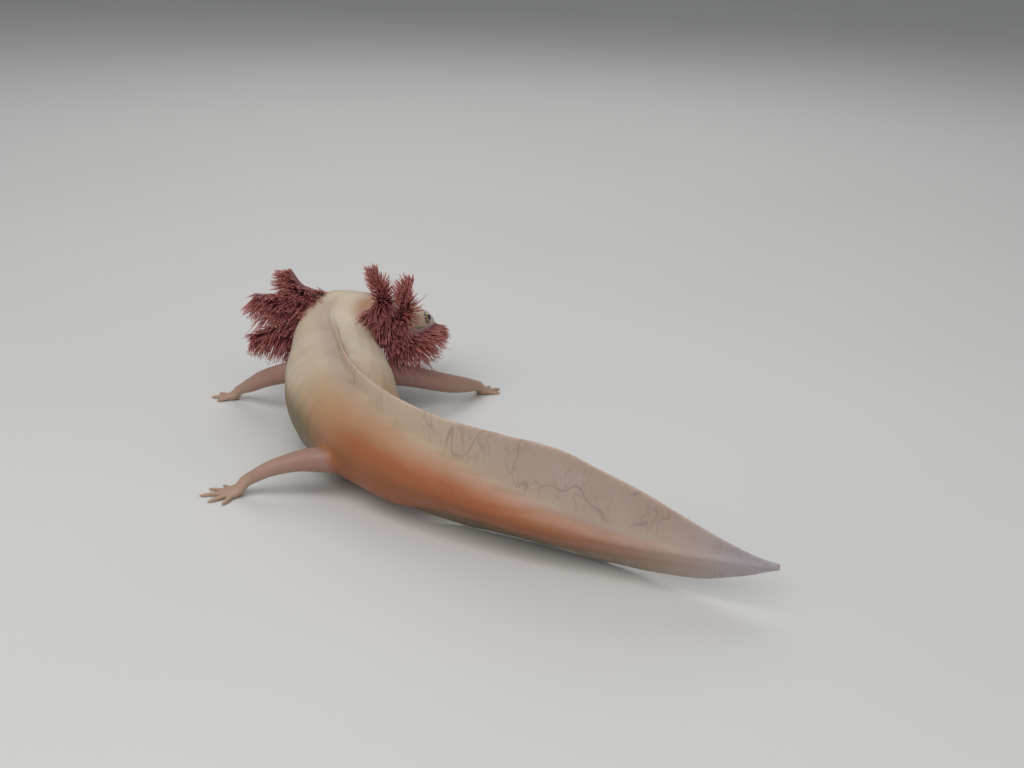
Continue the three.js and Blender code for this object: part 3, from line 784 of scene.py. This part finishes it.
def skin_tubes():
    """The spine's sections and rings, and the rings of every tube the skin is made of, by kind."""
    sections, rings = spine_rings()
    snout = rounded(rings[0], SNOUTWARD, 1.3)[::-1]
    tubes = {
        "spine": [snout + rings],
        "legs": [tube_rings(leg_form(name), "legs") for name in LEGS],
        "paws": [part for paw in PAWS for part in paw_tubes(*paw)],
        "stalks": [tube_rings(stalk_form(gill["path"]), "stalks") for gill in GILLS.values()],
    }
    return sections, rings, tubes


def mark_skin(mesh, sections, rings, surfaces, sizes):
    """Attributes that the skin's colours follow."""
    points = points_of(mesh)
    places = SpinePlaces(points, sections, rings)
    off_spine = distances(points, surfaces["spine"])
    apart = off_spine > 0.25
    near = {kind: distances(points, surfaces[kind], apart) for kind in ("legs", "paws", "stalks")}
    on_stalk = (near["stalks"] < np.minimum(near["legs"], near["paws"])) & apart
    on_limb = ~on_stalk & apart
    to_paw = 0.55 * smoothstep(22.0, 1.0, near["paws"]) + 0.45 * smoothstep(2.6, 0.4, near["paws"])
    high = places.high
    reach = np.where(high > 0, places.above, places.below)
    # mask of painted shade along the left foot of the crest only, the side turned from the light
    shaded_left_of_crest = bell(places.left - 2.2, 3.2) * smoothstep(0.55, 0.9, high / reach)
    behind_head = smoothstep(travel_of("gills"), travel_of("nape"), places.travel)
    roots = [np.array(gill["path"][0]) - MIDDLE for gill in GILLS.values()]
    from_root = np.min([np.linalg.norm(points - root, axis=1) for root in roots], axis=0)
    marks = {
        "along": places.travel / places.length,
        "along_mm": places.travel,
        "high_mm": high,
        "reach_mm": reach,
        "fin_mm": np.where(high > 0, places.crest, places.keel),
        "limb": on_limb * smoothstep(0.3, 3.0, off_spine),
        "paw": on_limb * to_paw,
        "gill": on_stalk * smoothstep(0.3, 2.2, off_spine),
        "crest_shade": shaded_left_of_crest * behind_head,
        "blush": smoothstep(9.5, 3.5, from_root),
        # mask of painted shade in creases, pits and grooves, and of the faint vein along the tail
        "crease": carve(points, places, sizes)[1],
    }
    for name, values in marks.items():
        put_attribute(mesh, name, values)


def standing(points):
    """The points with none under the floor."""
    points[:, 2] = np.maximum(points[:, 2], 0)
    return points


def fuse(tubes, surfaces, grid):
    """All the tubes as one closed mesh, smooth where legs and stalks leave the body."""
    pieces = [tube(f"{kind}_{n}", rows) for kind, group in tubes.items() for n, rows in enumerate(group)]
    skin = joined(pieces, "skin")
    modified(skin, "REMESH", mode="VOXEL", voxel_size=grid)
    points = points_of(skin.data)
    from_spine = distances(points, surfaces["spine"])
    joints = np.zeros(len(points))
    for kind, radius in JOINT_REACH.items():
        away = np.maximum(from_spine, distances(points, surfaces[kind], from_spine < 4))
        joints = np.maximum(joints, smoothstep(radius, 0.5, away))
    put_group(skin, "joints", joints)
    modified(skin, "SMOOTH", factor=0.5, iterations=50, vertex_group="joints")
    modified(skin, "SMOOTH", factor=0.5, iterations=4)
    skin.vertex_groups.clear()
    return skin


def thinned(skin, points, normals):
    """Brings the skin under its limit of triangles."""
    triangles = 2 * len(skin.data.polygons)
    if triangles > SKIN_LIMIT:
        uneven = np.random.default_rng(1).normal(0, ROUGHENING, len(points))
        put_points(skin.data, points + normals * uneven[:, None])
        modified(skin, "DECIMATE", ratio=SKIN_LIMIT / triangles)
        modified(skin, "SMOOTH", factor=0.5, iterations=3)


def skin_shape(sizes):
    """The skin as one closed mesh: tubes fused on a grid, smoothed, carved and thinned."""
    sections, rings, tubes = skin_tubes()
    surfaces = {kind: surface_of(group) for kind, group in tubes.items()}
    skin = fuse(tubes, surfaces, sizes.grid * (1.0))

    points, normals = points_of(skin.data), normals_of(skin.data)
    places = SpinePlaces(points, sections, rings)
    on_spine = smoothstep(2.0, 0.5, distances(points, surfaces["spine"]))
    off_crest = smoothstep(1.2, 3.0, np.abs(places.left))
    shift = on_spine * carve(points, places, sizes)[0]
    shift += UNEVENNESS * lumps(points, LUMP) * off_crest * on_spine
    points = standing(points + normals * shift[:, None])
    put_points(skin.data, points)
    thinned(skin, points, normals)
    put_points(skin.data, standing(points_of(skin.data)))
    skin.data.shade_smooth()
    mark_skin(skin.data, sections, rings, surfaces, sizes)
    return skin


# ---------------------------------------------------------------- materials

class Paint:
    """Adds nodes to the tree of one material or group."""

    def __init__(self, tree):
        self.tree = tree

    def node(self, kind, inputs=(), **settings):
        """A node with its settings, and with inputs given by name or number as values or sockets."""
        made = self.tree.nodes.new("ShaderNode" + kind)
        for key, value in settings.items():
            setattr(made, key, value)
        for key, value in dict(inputs).items():
            self.give(made.inputs[key], value)
        return made

    def give(self, socket, value):
        if isinstance(value, bpy.types.NodeSocket):
            self.tree.links.new(value, socket)
        elif hasattr(value, "__len__") and len(value) == 3 and socket.type == "RGBA":
            socket.default_value = (*value, 1.0)
        else:
            socket.default_value = value

    def attribute(self, name):
        return self.node("Attribute", attribute_name=name).outputs["Fac"]

    def maths(self, operation, a, b=0.0, c=0.0):
        return self.node("Math", {0: a, 1: b, 2: c}, operation=operation).outputs[0]

    def times(self, value, *others):
        """The product of two or more values."""
        for other in others:
            value = self.maths("MULTIPLY", value, other)
        return value

    def ramp(self, value, start, end, low, high):
        """low where value is start and high where it is end, evenly between."""
        inputs = {"Value": value, "From Min": start, "From Max": end, "To Min": low, "To Max": high}
        return self.node("MapRange", inputs).outputs["Result"]

    def band(self, value, low, high):
        """0 at low and 1 at high, smoothly, whichever is the larger."""
        made = self.node("MapRange", {"Value": value, "From Min": low, "From Max": high})
        made.interpolation_type = "SMOOTHSTEP"
        return made.outputs["Result"]

    def mix(self, share, a, b, blend="MIX"):
        """Colour a, blended towards b by share."""
        made = self.node("Mix", {0: share, 6: a, 7: b}, data_type="RGBA", blend_type=blend)
        return made.outputs[2]

    def layered(self, colour, *layers):
        """A colour with others laid over it in turn, each by its own share."""
        for share, over in layers:
            colour = self.mix(share, colour, over)
        return colour

    def noise(self, vector, scale, detail=3.0, roughness=0.55, distortion=0.0):
        inputs = {"Vector": vector, "Scale": scale, "Detail": detail, "Roughness": roughness}
        return self.node("TexNoise", {**inputs, "Distortion": distortion}).outputs["Fac"]

    def bump(self, height, distance, strength=1.0, normal=None):
        inputs = {"Height": height, "Distance": distance, "Strength": strength}
        if normal is not None:
            inputs["Normal"] = normal
        return self.node("Bump", inputs).outputs["Normal"]

    def object_place(self):
        return self.node("TexCoord").outputs["Object"]


def new_group(name, inputs, outputs):
    """An empty node group with its sockets, and the sockets inside it."""
    tree = bpy.data.node_groups.new(name, "ShaderNodeTree")
    for direction, sockets in (("INPUT", inputs), ("OUTPUT", outputs)):
        for label, kind in sockets:
            tree.interface.new_socket(label, in_out=direction, socket_type="NodeSocket" + kind)
    start = tree.nodes.new("NodeGroupInput")
    end = tree.nodes.new("NodeGroupOutput")
    return tree, start.outputs, end.inputs


def moist_grain_group():
    """Fine pores and soft creases of moist skin, as a height from 0 to 1 and a mask of wetness."""
    tree, given, wanted = new_group(
        "moist_grain", [("Fineness", "Float")], [("Height", "Float"), ("Wetness", "Float")]
    )
    paint = Paint(tree)
    place = paint.object_place()
    fine = paint.times(given["Fineness"], 1500.0)
    coarse = paint.times(given["Fineness"], 420.0)
    pores = paint.node("TexVoronoi", {"Vector": place, "Scale": fine}, feature="F1").outputs["Distance"]
    pore_height = paint.times(paint.band(pores, 0.0, 0.5), 0.35)
    soft_height = paint.times(paint.noise(place, coarse, 4.0, 0.6, 0.4), 0.65)
    paint.give(wanted["Height"], paint.maths("ADD", pore_height, soft_height))
    paint.give(wanted["Wetness"], paint.band(paint.noise(place, 90.0, 2.0), 0.35, 0.7))
    return tree


def mottle_group():
    """A colour broken up by a second one in soft patches and fine flecks."""
    tree, given, wanted = new_group(
        "mottle",
        [("Colour", "Color"), ("Patches", "Color"), ("Amount", "Float")],
        [("Colour", "Color")],
    )
    paint = Paint(tree)
    place = paint.object_place()
    patches = paint.band(paint.noise(place, 55.0, 3.0, 0.6, 0.5), 0.35, 0.7)
    flecks = paint.band(paint.noise(place, 600.0, 3.0, 0.7), 0.5, 0.75)
    share = paint.times(paint.maths("ADD", patches, paint.times(flecks, 0.35)), given["Amount"])
    paint.give(wanted["Colour"], paint.mix(share, given["Colour"], given["Patches"]))
    return tree


def group_node(paint, name, make, inputs):
    """The named shader node group, made once, placed with its inputs."""
    made = paint.node("Group", node_tree=bpy.data.node_groups.get(name) or make())
    for key, value in inputs.items():
        paint.give(made.inputs[key], value)
    return made.outputs


def mottled(paint, colour, patches, amount):
    """A colour in which patches of a second one show."""
    inputs = {"Colour": colour, "Patches": patches, "Amount": amount}
    return group_node(paint, "mottle", mottle_group, inputs)["Colour"]


def moistened(paint, shader, fineness, dry, wet):
    """Sets the roughness of moist skin on a shader, and gives the height of its grain."""
    grain = group_node(paint, "moist_grain", moist_grain_group, {"Fineness": fineness})
    paint.give(shader["Roughness"], paint.ramp(grain["Wetness"], 0, 1, dry, wet))
    return grain["Height"]


def new_material(name, shader=()):
    """A material with its own Principled shader, set once all over, and a Paint for its tree."""
    material = bpy.data.materials.new(name)
    material.use_nodes = True
    material.node_tree.nodes.clear()
    paint = Paint(material.node_tree)
    principled = paint.node("BsdfPrincipled", shader)
    output = paint.node("OutputMaterial")
    paint.tree.links.new(principled.outputs["BSDF"], output.inputs["Surface"])
    return material, paint, principled.inputs


MOIST = {
    "IOR": 1.4,
    "Subsurface Weight": 0.3,
    "Subsurface Radius": (1.0, 0.42, 0.25),
    "Subsurface Scale": 0.0022,
    "Coat Weight": 0.2,
    "Coat Roughness": 0.25,
}


# fixed shades, in linear red, green and blue
# painted shade for the line of the mouth, the nostril pits, the eye rims, the throat fold and the rib
# grooves; along the tail the same colour draws a faint vein
PAINTED_CREASE_SHADE = (0.10, 0.055, 0.04)
SKIN_PATCH_SHADE = (0.45, 0.30, 0.22)
GILL_PATCH_SHADE = (0.25, 0.06, 0.06)
GILL_DEPTH_SHADE = (0.03, 0.003, 0.006)
PUPIL_SHADE = (0.006, 0.006, 0.005)
EYE_EDGE_SHADE = (0.05, 0.045, 0.03)
IRIS_FLECK_SHADE = (0.25, 0.14, 0.03)


def fin_veins(paint, along, high):
    """A mask of fine wandering veins that loop up and down the fins."""
    place = paint.node("CombineXYZ", {0: along, 1: paint.times(high, 0.5), 2: 0.0}).outputs[0]
    broken = paint.band(paint.noise(place, 0.10, 1.0), 0.30, 0.46)
    loops = []
    for scale, width, strength in ((0.075, 0.016, 1.0), (0.17, 0.020, 0.6)):
        height = paint.noise(place, scale, 2.5, 0.45, 0.5)
        away = paint.maths("ABSOLUTE", paint.maths("SUBTRACT", height, 0.5))
        loops.append(paint.times(paint.band(away, width, 0.0), strength))
    return paint.times(paint.maths("MAXIMUM", *loops), broken)


def skin_material(colours):
    """Moist skin, with its colours laid out by the attributes that the skin carries."""
    material, paint, shader = new_material("axolotl_skin", MOIST)
    names = ("along", "along_mm", "high_mm", "reach_mm", "fin_mm")
    along, along_mm, high_mm, reach_mm, fin_mm = map(paint.attribute, names)
    high = paint.maths("DIVIDE", high_mm, reach_mm)
    away = paint.maths("ABSOLUTE", high_mm)
    past_flesh = paint.maths("SUBTRACT", away, paint.times(reach_mm, 0.93))
    from_rim = paint.maths("SUBTRACT", paint.maths("ADD", reach_mm, fin_mm), away)
    # how far under the line where the belly colour starts; the line climbs the flank towards the rear, so
    # the belly colour also paints the shade of the lower flank
    under_line = paint.maths("SUBTRACT", paint.ramp(along, 0.16, 0.38, 0.05, 0.55), high)

    on_fin = paint.times(paint.band(past_flesh, 0.0, 3.5), paint.band(fin_mm, 0.3, 3.0))
    on_rim = paint.times(paint.band(from_rim, 2.4, 0.2), paint.band(fin_mm, 2.0, 5.0))
    on_tail = paint.band(along, 0.40, 0.52)
    on_tip = paint.band(along, 0.88, 0.98)
    on_keel = paint.times(paint.band(high, -0.8, -1.25), paint.band(along, 0.45, 0.55))
    over_flesh = paint.times(paint.band(high, 2.5, 0.9), paint.band(along, 0.86, 0.6))
    fleshy = paint.times(on_tail, paint.band(along, 0.95, 0.66))
    veins = fin_veins(paint, along_mm, high_mm)

    warm = paint.mix(0.5, colours.peach, colours.back)
    trunk = paint.layered(
        colours.flank,
        (paint.band(high, 0.0, 0.6), colours.back),
        (paint.band(along, 0.30, 0.46), colours.peach),
        # belly tone together with painted shade on the lower flank
        (paint.times(paint.band(under_line, -0.06, 0.56), 0.95), colours.belly),
        # painted shade along the left foot of the crest
        (paint.times(paint.attribute("crest_shade"), 0.65), colours.crest_shade),
    )
    tail = paint.layered(
        colours.peach,
        (paint.band(along, 0.50, 0.72), colours.fin),
        (paint.times(over_flesh, 0.7), warm),
        (on_tip, colours.tip),
    )
    blade = paint.mix(paint.times(paint.band(along, 0.74, 0.52), 0.55), colours.fin, colours.back)
    fins = paint.layered(
        # the front of the crest starts in the painted crest shade
        colours.crest_shade,
        (paint.band(along, 0.30, 0.52), blade),
        (paint.times(over_flesh, 0.6), warm),
        (on_tip, colours.tip),
        (paint.times(veins, 0.58), colours.vein),
        (paint.times(on_rim, 0.10), colours.back),
    )
    body = paint.layered(
        trunk,
        (on_tail, tail),
        (paint.times(paint.band(high, 1.25, 0.4), fleshy), colours.glow),
        (paint.times(paint.band(high, 0.5, -0.15), fleshy), colours.muscle),
        (on_fin, fins),
        # the keel of the tail darkened towards the same belly colour
        (paint.times(on_keel, paint.band(along, 1.0, 0.7), 0.7), colours.belly),
        (paint.times(paint.attribute("blush"), 0.6), colours.glow),
        (paint.attribute("limb"), paint.mix(paint.attribute("paw"), colours.limb, colours.paw)),
        (paint.attribute("gill"), colours.gill_stalk),
    )
    body = mottled(paint, body, paint.mix(0.6, body, SKIN_PATCH_SHADE, "MULTIPLY"), 0.22)
    # painted shade in creases, pits and grooves, by the crease mask
    body = paint.mix(paint.times(paint.attribute("crease"), 0.75), body, PAINTED_CREASE_SHADE)
    paint.give(shader["Base Color"], body)

    grain = paint.bump(moistened(paint, shader, 1.0, 0.62, 0.45), 0.00022, 0.55)
    paint.give(shader["Normal"], paint.bump(paint.times(veins, on_fin), 0.00012, 0.5, grain))
    return material


def gill_material(colours):
    """Blood-red filaments, dark at the root and clearer at the tip."""
    material, paint, shader = new_material("gill_fringe", MOIST)
    tipward, shade = paint.attribute("tipward"), paint.attribute("shade")
    strand = paint.mix(paint.band(tipward, 0.15, 1.0), colours.gill_root, colours.gill_tip)
    strand = paint.mix(paint.times(shade, 0.35), strand, GILL_DEPTH_SHADE)
    paint.give(shader["Base Color"], mottled(paint, strand, GILL_PATCH_SHADE, 0.15))
    moistened(paint, shader, 1.6, 0.45, 0.3)
    return material


def eye_material(colours):
    """A dark eye with a thin metallic ring, broken up by flecks."""
    material, paint, shader = new_material("axolotl_eye", {"Coat Weight": 1.0, "Coat Roughness": 0.03})
    gaze = paint.attribute("gaze")
    flecks = paint.band(paint.noise(paint.object_place(), 2600.0, 3.0), 0.35, 0.65)
    ring = paint.times(paint.band(gaze, 0.40, 0.46), paint.band(gaze, 0.66, 0.52))
    around = paint.mix(paint.band(gaze, 0.5, 0.9), PUPIL_SHADE, EYE_EDGE_SHADE)
    gold = paint.mix(flecks, colours.iris, IRIS_FLECK_SHADE)
    paint.give(shader["Base Color"], paint.mix(ring, around, gold))
    paint.give(shader["Metallic"], paint.times(ring, 0.6))
    paint.give(shader["Roughness"], paint.ramp(flecks, 0, 1, 0.15, 0.3))
    return material


def floor_material(colours):
    """A plain pale floor with a trace of unevenness."""
    material, paint, shader = new_material("floor")
    cloud = paint.band(paint.noise(paint.object_place(), 3.0, 2.0), 0.3, 0.7)
    darker = tuple(0.95 * part for part in colours.floor)
    paint.give(shader["Base Color"], paint.mix(cloud, colours.floor, darker))
    paint.give(shader["Roughness"], paint.ramp(cloud, 0, 1, 0.6, 0.7))
    return material


# ---------------------------------------------------------------- eyes and gill fringe

def eyeball(name, side, sizes):
    """An eyeball: a sphere whose front is drawn out into a clear low dome, facing its gaze."""
    gaze = Vector(gaze_of(side))
    centre = Vector(eye_centre(side)) * MM
    bpy.ops.object.select_all(action="DESELECT")
    turn = gaze.to_track_quat("Z", "Y").to_euler()
    bpy.ops.mesh.primitive_uv_sphere_add(
        segments=48, ring_count=32, radius=sizes.eye, location=centre, rotation=turn
    )
    eye = bpy.context.active_object
    eye.name = eye.data.name = name
    bpy.ops.object.transform_apply(location=True, rotation=True, scale=True)
    points = points_of(eye.data) - np.array(centre) / MM
    facing = points @ np.array(gaze) / np.linalg.norm(points, axis=1)
    points *= (1 + EYE_DOME * smoothstep(0.62, 0.95, facing))[:, None]
    put_points(eye.data, points + np.array(centre) / MM)
    put_attribute(eye.data, "gaze", np.arccos(np.clip(facing, -1, 1)) / (math.pi / 2))
    eye.data.shade_smooth()
    return eye


STRAND_SIDES = 4
STRAND_STEPS = 9
STRAND_THINNING = 0.62  # share of its radius that a filament loses towards its tip
ROWS = (-1.0, -0.6, -0.2, 0.2, 0.6, 1.0)  # shares of the spread to each side
ROW_CLOSING = 0.4  # share of the spread that is gone at the tip of the stalk
ROW_JITTER = 7  # degrees that a filament may stand out of its row
BARE_SHARE = 0.10  # of a stalk, from its root
ROOT_DEPTH = 0.8  # of the half-thickness of the stalk, where filaments are rooted
HANGING = 0.3  # share of the gill's own hanging way in the way of each filament
STRAY = 0.07  # unevenness of that way
LENGTHS = (0.6, 1.05)  # shortest and longest filament, as shares of what their place gives
SHORTENING = (1.05, 0.65)  # share of the fringe's length at the root, and how much is lost by the tip
STRAGGLERS = 0.05  # share of the filaments that are longer than the rest
STRAGGLER_LENGTH = 1.35
STRAGGLERS_TO = 0.75  # of the stalk, past which there are none
PATCH = 0.003  # across, on the bake map, of one filament


def strand_line(root, way, tipward, bend_way, size, draw):
    """The middle line of one filament: out from the stalk, sagging and curling towards its end."""
    s = np.linspace(0, 1, STRAND_STEPS + 1)[:, None]
    line = root + way * s * size
    line = line + tipward * (draw.uniform(0.05, 0.30) * size * s**2)
    line = line + bend_way * (draw.uniform(0.10, 0.34) * size * s**2.2)
    curl = draw.uniform(0.02, 0.08) * size
    phase = draw.uniform(0, 2 * math.pi)
    side = unit(np.cross(way, bend_way) + 1e-6)
    return line + curl * s * (np.sin(phase + 5 * s) * side + np.cos(phase + 5 * s) * bend_way)


def strand_mesh(line, radius):
    """Rings of vertices along a tapering filament."""
    along = np.gradient(line, axis=0)
    along /= np.linalg.norm(along, axis=1)[:, None]
    across = np.cross(along, (0.31, 0.55, 0.77))
    across /= np.linalg.norm(across, axis=1)[:, None]
    other = np.cross(along, across)
    taper = radius * (1 - STRAND_THINNING * np.linspace(0, 1, len(line)) ** 1.6)
    rings = []
    for side in range(STRAND_SIDES):
        angle = 2 * math.pi * side / STRAND_SIDES
        rings.append(line + taper[:, None] * (math.cos(angle) * across + math.sin(angle) * other))
    return np.stack(rings, axis=1).reshape(-1, 3)


def strand_faces(start):
    """The faces of a filament whose vertices follow from number start, with both ends closed."""
    last = start + STRAND_STEPS * STRAND_SIDES
    root_end = tuple(range(start + STRAND_SIDES - 1, start - 1, -1))
    tip_end = tuple(range(last, last + STRAND_SIDES))
    return wall_faces(start, STRAND_STEPS, STRAND_SIDES) + [root_end, tip_end]


def placed_line(gill, form, u, row_share, draw):
    """The middle line of the filament at share u of a stalk, in the row at its share of the spread."""
    section = form.section(u * form.last)
    along = section["forward"]
    down = unit(np.array(gill["hang"], dtype=float))
    across = unit(np.cross(down, along))
    under = unit(np.cross(along, across))
    under = under if under @ down > 0 else -under
    opening = gill["spread"] * row_share * (1 - ROW_CLOSING * u)
    angle = math.radians(opening + draw.uniform(-ROW_JITTER, ROW_JITTER))
    outward = math.cos(angle) * under + math.sin(angle) * across
    root = section["at"] + ROOT_DEPTH * section["half"] * outward
    stray = STRAY * np.array([draw.gauss(0, 1) for _ in range(3)])
    first_lean, last_lean = gill["lean"]
    leaning = along * (first_lean + (last_lean - first_lean) * u)
    way = unit(outward + HANGING * down + leaning + stray)
    straggling = draw.random() < STRAGGLERS and u < STRAGGLERS_TO
    at_root, lost = SHORTENING
    reach = gill["fringe"] * (at_root - lost * u) * draw.uniform(*LENGTHS)
    reach *= STRAGGLER_LENGTH if straggling else 1
    return strand_line(root, way, along, under, reach, draw)


def fringe(name, gill, sizes, seed):
    """All the filaments of one gill as one mesh, each rooted in the skin of its stalk."""
    draw = random.Random(seed)
    form = stalk_form(gill["path"])
    points, faces, uvs, shades = [], [], [], []
    per_row = max(2, sizes.strands // len(ROWS))
    tipward = np.repeat(np.linspace(0, 1, STRAND_STEPS + 1), STRAND_SIDES)
    around = np.tile(np.arange(STRAND_SIDES) / (STRAND_SIDES - 1), STRAND_STEPS + 1)
    for row, row_share in enumerate(ROWS):
        for n in range(per_row):
            u = BARE_SHARE + (1 - BARE_SHARE) * (n + draw.uniform(0.1, 0.9)) / per_row
            line = placed_line(gill, form, u, row_share, draw)
            faces += strand_faces(len(tipward) * len(points))
            points.append(strand_mesh(line, sizes.strand / MM * draw.uniform(0.75, 1.15)))
            shades.append(np.full(len(tipward), draw.random()))
            map_u = 0.03 + 0.94 * u
            map_v = 0.1 + 0.8 * row / (len(ROWS) - 1) + draw.uniform(-0.04, 0.04)
            uvs.append(np.column_stack([map_u + PATCH * (tipward - 0.5), map_v + PATCH * (around - 0.5)]))
    mesh = bpy.data.meshes.new(name)
    mesh.from_pydata((np.concatenate(points) * MM).tolist(), [], faces)
    put_attribute(mesh, "tipward", np.tile(tipward, len(points)))
    put_attribute(mesh, "shade", np.concatenate(shades))
    layer = mesh.uv_layers.new(name="OFBake")
    corners = np.empty(len(mesh.loops), dtype=np.int32)
    mesh.loops.foreach_get("vertex_index", corners)
    layer.data.foreach_set("uv", np.concatenate(uvs)[corners].astype(np.float32).ravel())
    mesh.shade_smooth()
    piece = bpy.data.objects.new(name, mesh)
    bpy.context.scene.collection.objects.link(piece)
    return piece


# ---------------------------------------------------------------- operators

class AXOLOTL_OT_skin(bpy.types.Operator):
    """Makes the one skin over head, trunk, legs, gill stalks and fins."""

    bl_idname = "axolotl.skin"
    bl_label = "Skin"

    def execute(self, context):
        skin = skin_shape(context.scene.axolotl_sizes)
        skin.data.materials.clear()
        skin.data.materials.append(skin_material(context.scene.axolotl_colours))
        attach(skin, BODY)
        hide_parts(*FLESH_NODES)
        return {"FINISHED"}


class AXOLOTL_OT_eyes(bpy.types.Operator):
    """Makes the two eyeballs."""

    bl_idname = "axolotl.eyes"
    bl_label = "Eyes"

    def execute(self, context):
        material = eye_material(context.scene.axolotl_colours)
        for node, side in (("eye_left", 1), ("eye_right", -1)):
            eye = eyeball("ball_" + node, side, context.scene.axolotl_sizes)
            eye.data.materials.append(material)
            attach(eye, BODY)
            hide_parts(node)
        return {"FINISHED"}


class AXOLOTL_OT_fringe(bpy.types.Operator):
    """Makes the filaments of the six gills."""

    bl_idname = "axolotl.fringe"
    bl_label = "Gill fringe"

    def execute(self, context):
        material = gill_material(context.scene.axolotl_colours)
        for seed, (name, gill) in enumerate(GILLS.items()):
            piece = fringe("fringe_" + name, gill, context.scene.axolotl_sizes, seed)
            piece.data.materials.append(material)
            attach(piece, BODY)
        return {"FINISHED"}


def soft_light(name, at, size, power):
    """A square area light at a place, aimed at the middle of the floor."""
    light = bpy.data.lights.new(name, "AREA")
    light.size = size
    light.energy = power
    lamp = bpy.data.objects.new(name, light)
    lamp.location = at
    lamp.rotation_euler = (-Vector(at)).to_track_quat("-Z", "Y").to_euler()
    bpy.context.scene.collection.objects.link(lamp)


def camera_seat():
    """The camera, in its place and turned by its dip and roll."""
    camera = bpy.data.cameras.new("camera")
    camera.sensor_width = SENSOR
    camera.lens = FOCAL_PIXELS / FRAME_PIXELS * SENSOR
    camera.clip_start = 0.01
    seat = bpy.data.objects.new("camera", camera)
    ahead = Vector((0, math.cos(CAMERA_DIP), -math.sin(CAMERA_DIP)))
    level = Vector((1, 0, 0))
    upright = level.cross(ahead)
    right = math.cos(CAMERA_ROLL) * level + math.sin(CAMERA_ROLL) * upright
    top = math.cos(CAMERA_ROLL) * upright - math.sin(CAMERA_ROLL) * level
    turn = Matrix((right, top, -ahead)).transposed().to_4x4()
    seat.matrix_world = Matrix.Translation(Vector(CAMERA_AT) * MM) @ turn
    return seat


class AXOLOTL_OT_stage(bpy.types.Operator):
    """Sets the floor, the lights and the camera."""

    bl_idname = "axolotl.stage"
    bl_label = "Stage"

    def execute(self, context):
        scene = context.scene
        bpy.ops.object.select_all(action="DESELECT")
        bpy.ops.mesh.primitive_plane_add(size=FLOOR_SIZE)
        floor = context.active_object
        floor.name = "floor"
        floor.data.materials.append(floor_material(scene.axolotl_colours))
        for name, light in LIGHTS.items():
            soft_light(name, *light)
        world = bpy.data.worlds.new("studio")
        world.use_nodes = True
        background = world.node_tree.nodes["Background"].inputs
        background["Color"].default_value = SKY
        background["Strength"].default_value = SKY_STRENGTH
        scene.world = world
        seat = camera_seat()
        scene.collection.objects.link(seat)
        scene.camera = seat
        scene.view_settings.view_transform = "Standard"
        return {"FINISHED"}


class AXOLOTL_PT_sidebar(bpy.types.Panel):
    """Lists the pieces and what can be changed on them."""

    bl_idname = "AXOLOTL_PT_sidebar"
    bl_label = "Axolotl"
    bl_space_type = "VIEW_3D"
    bl_region_type = "UI"
    bl_category = "Axolotl"

    def draw(self, context):
        for group in (context.scene.axolotl_sizes, context.scene.axolotl_colours):
            box = self.layout.box()
            for key in group.__annotations__:
                box.prop(group, key)
        for operator in OPERATORS:
            self.layout.operator(operator.bl_idname)


OPERATORS = (AXOLOTL_OT_skin, AXOLOTL_OT_eyes, AXOLOTL_OT_fringe, AXOLOTL_OT_stage)
CLASSES = (AxolotlSizes, AxolotlColours, *OPERATORS, AXOLOTL_PT_sidebar)


def register():
    for kind in CLASSES:
        bpy.utils.register_class(kind)
    bpy.types.Scene.axolotl_sizes = bpy.props.PointerProperty(type=AxolotlSizes)
    bpy.types.Scene.axolotl_colours = bpy.props.PointerProperty(type=AxolotlColours)


def unregister():
    del bpy.types.Scene.axolotl_sizes
    del bpy.types.Scene.axolotl_colours
    for kind in reversed(CLASSES):
        bpy.utils.unregister_class(kind)


def main():
    """Makes every piece in order."""
    register()
    bpy.ops.axolotl.skin()
    bpy.ops.axolotl.eyes()
    bpy.ops.axolotl.fringe()
    bpy.ops.axolotl.stage()


if __name__ == "__main__":
    main()
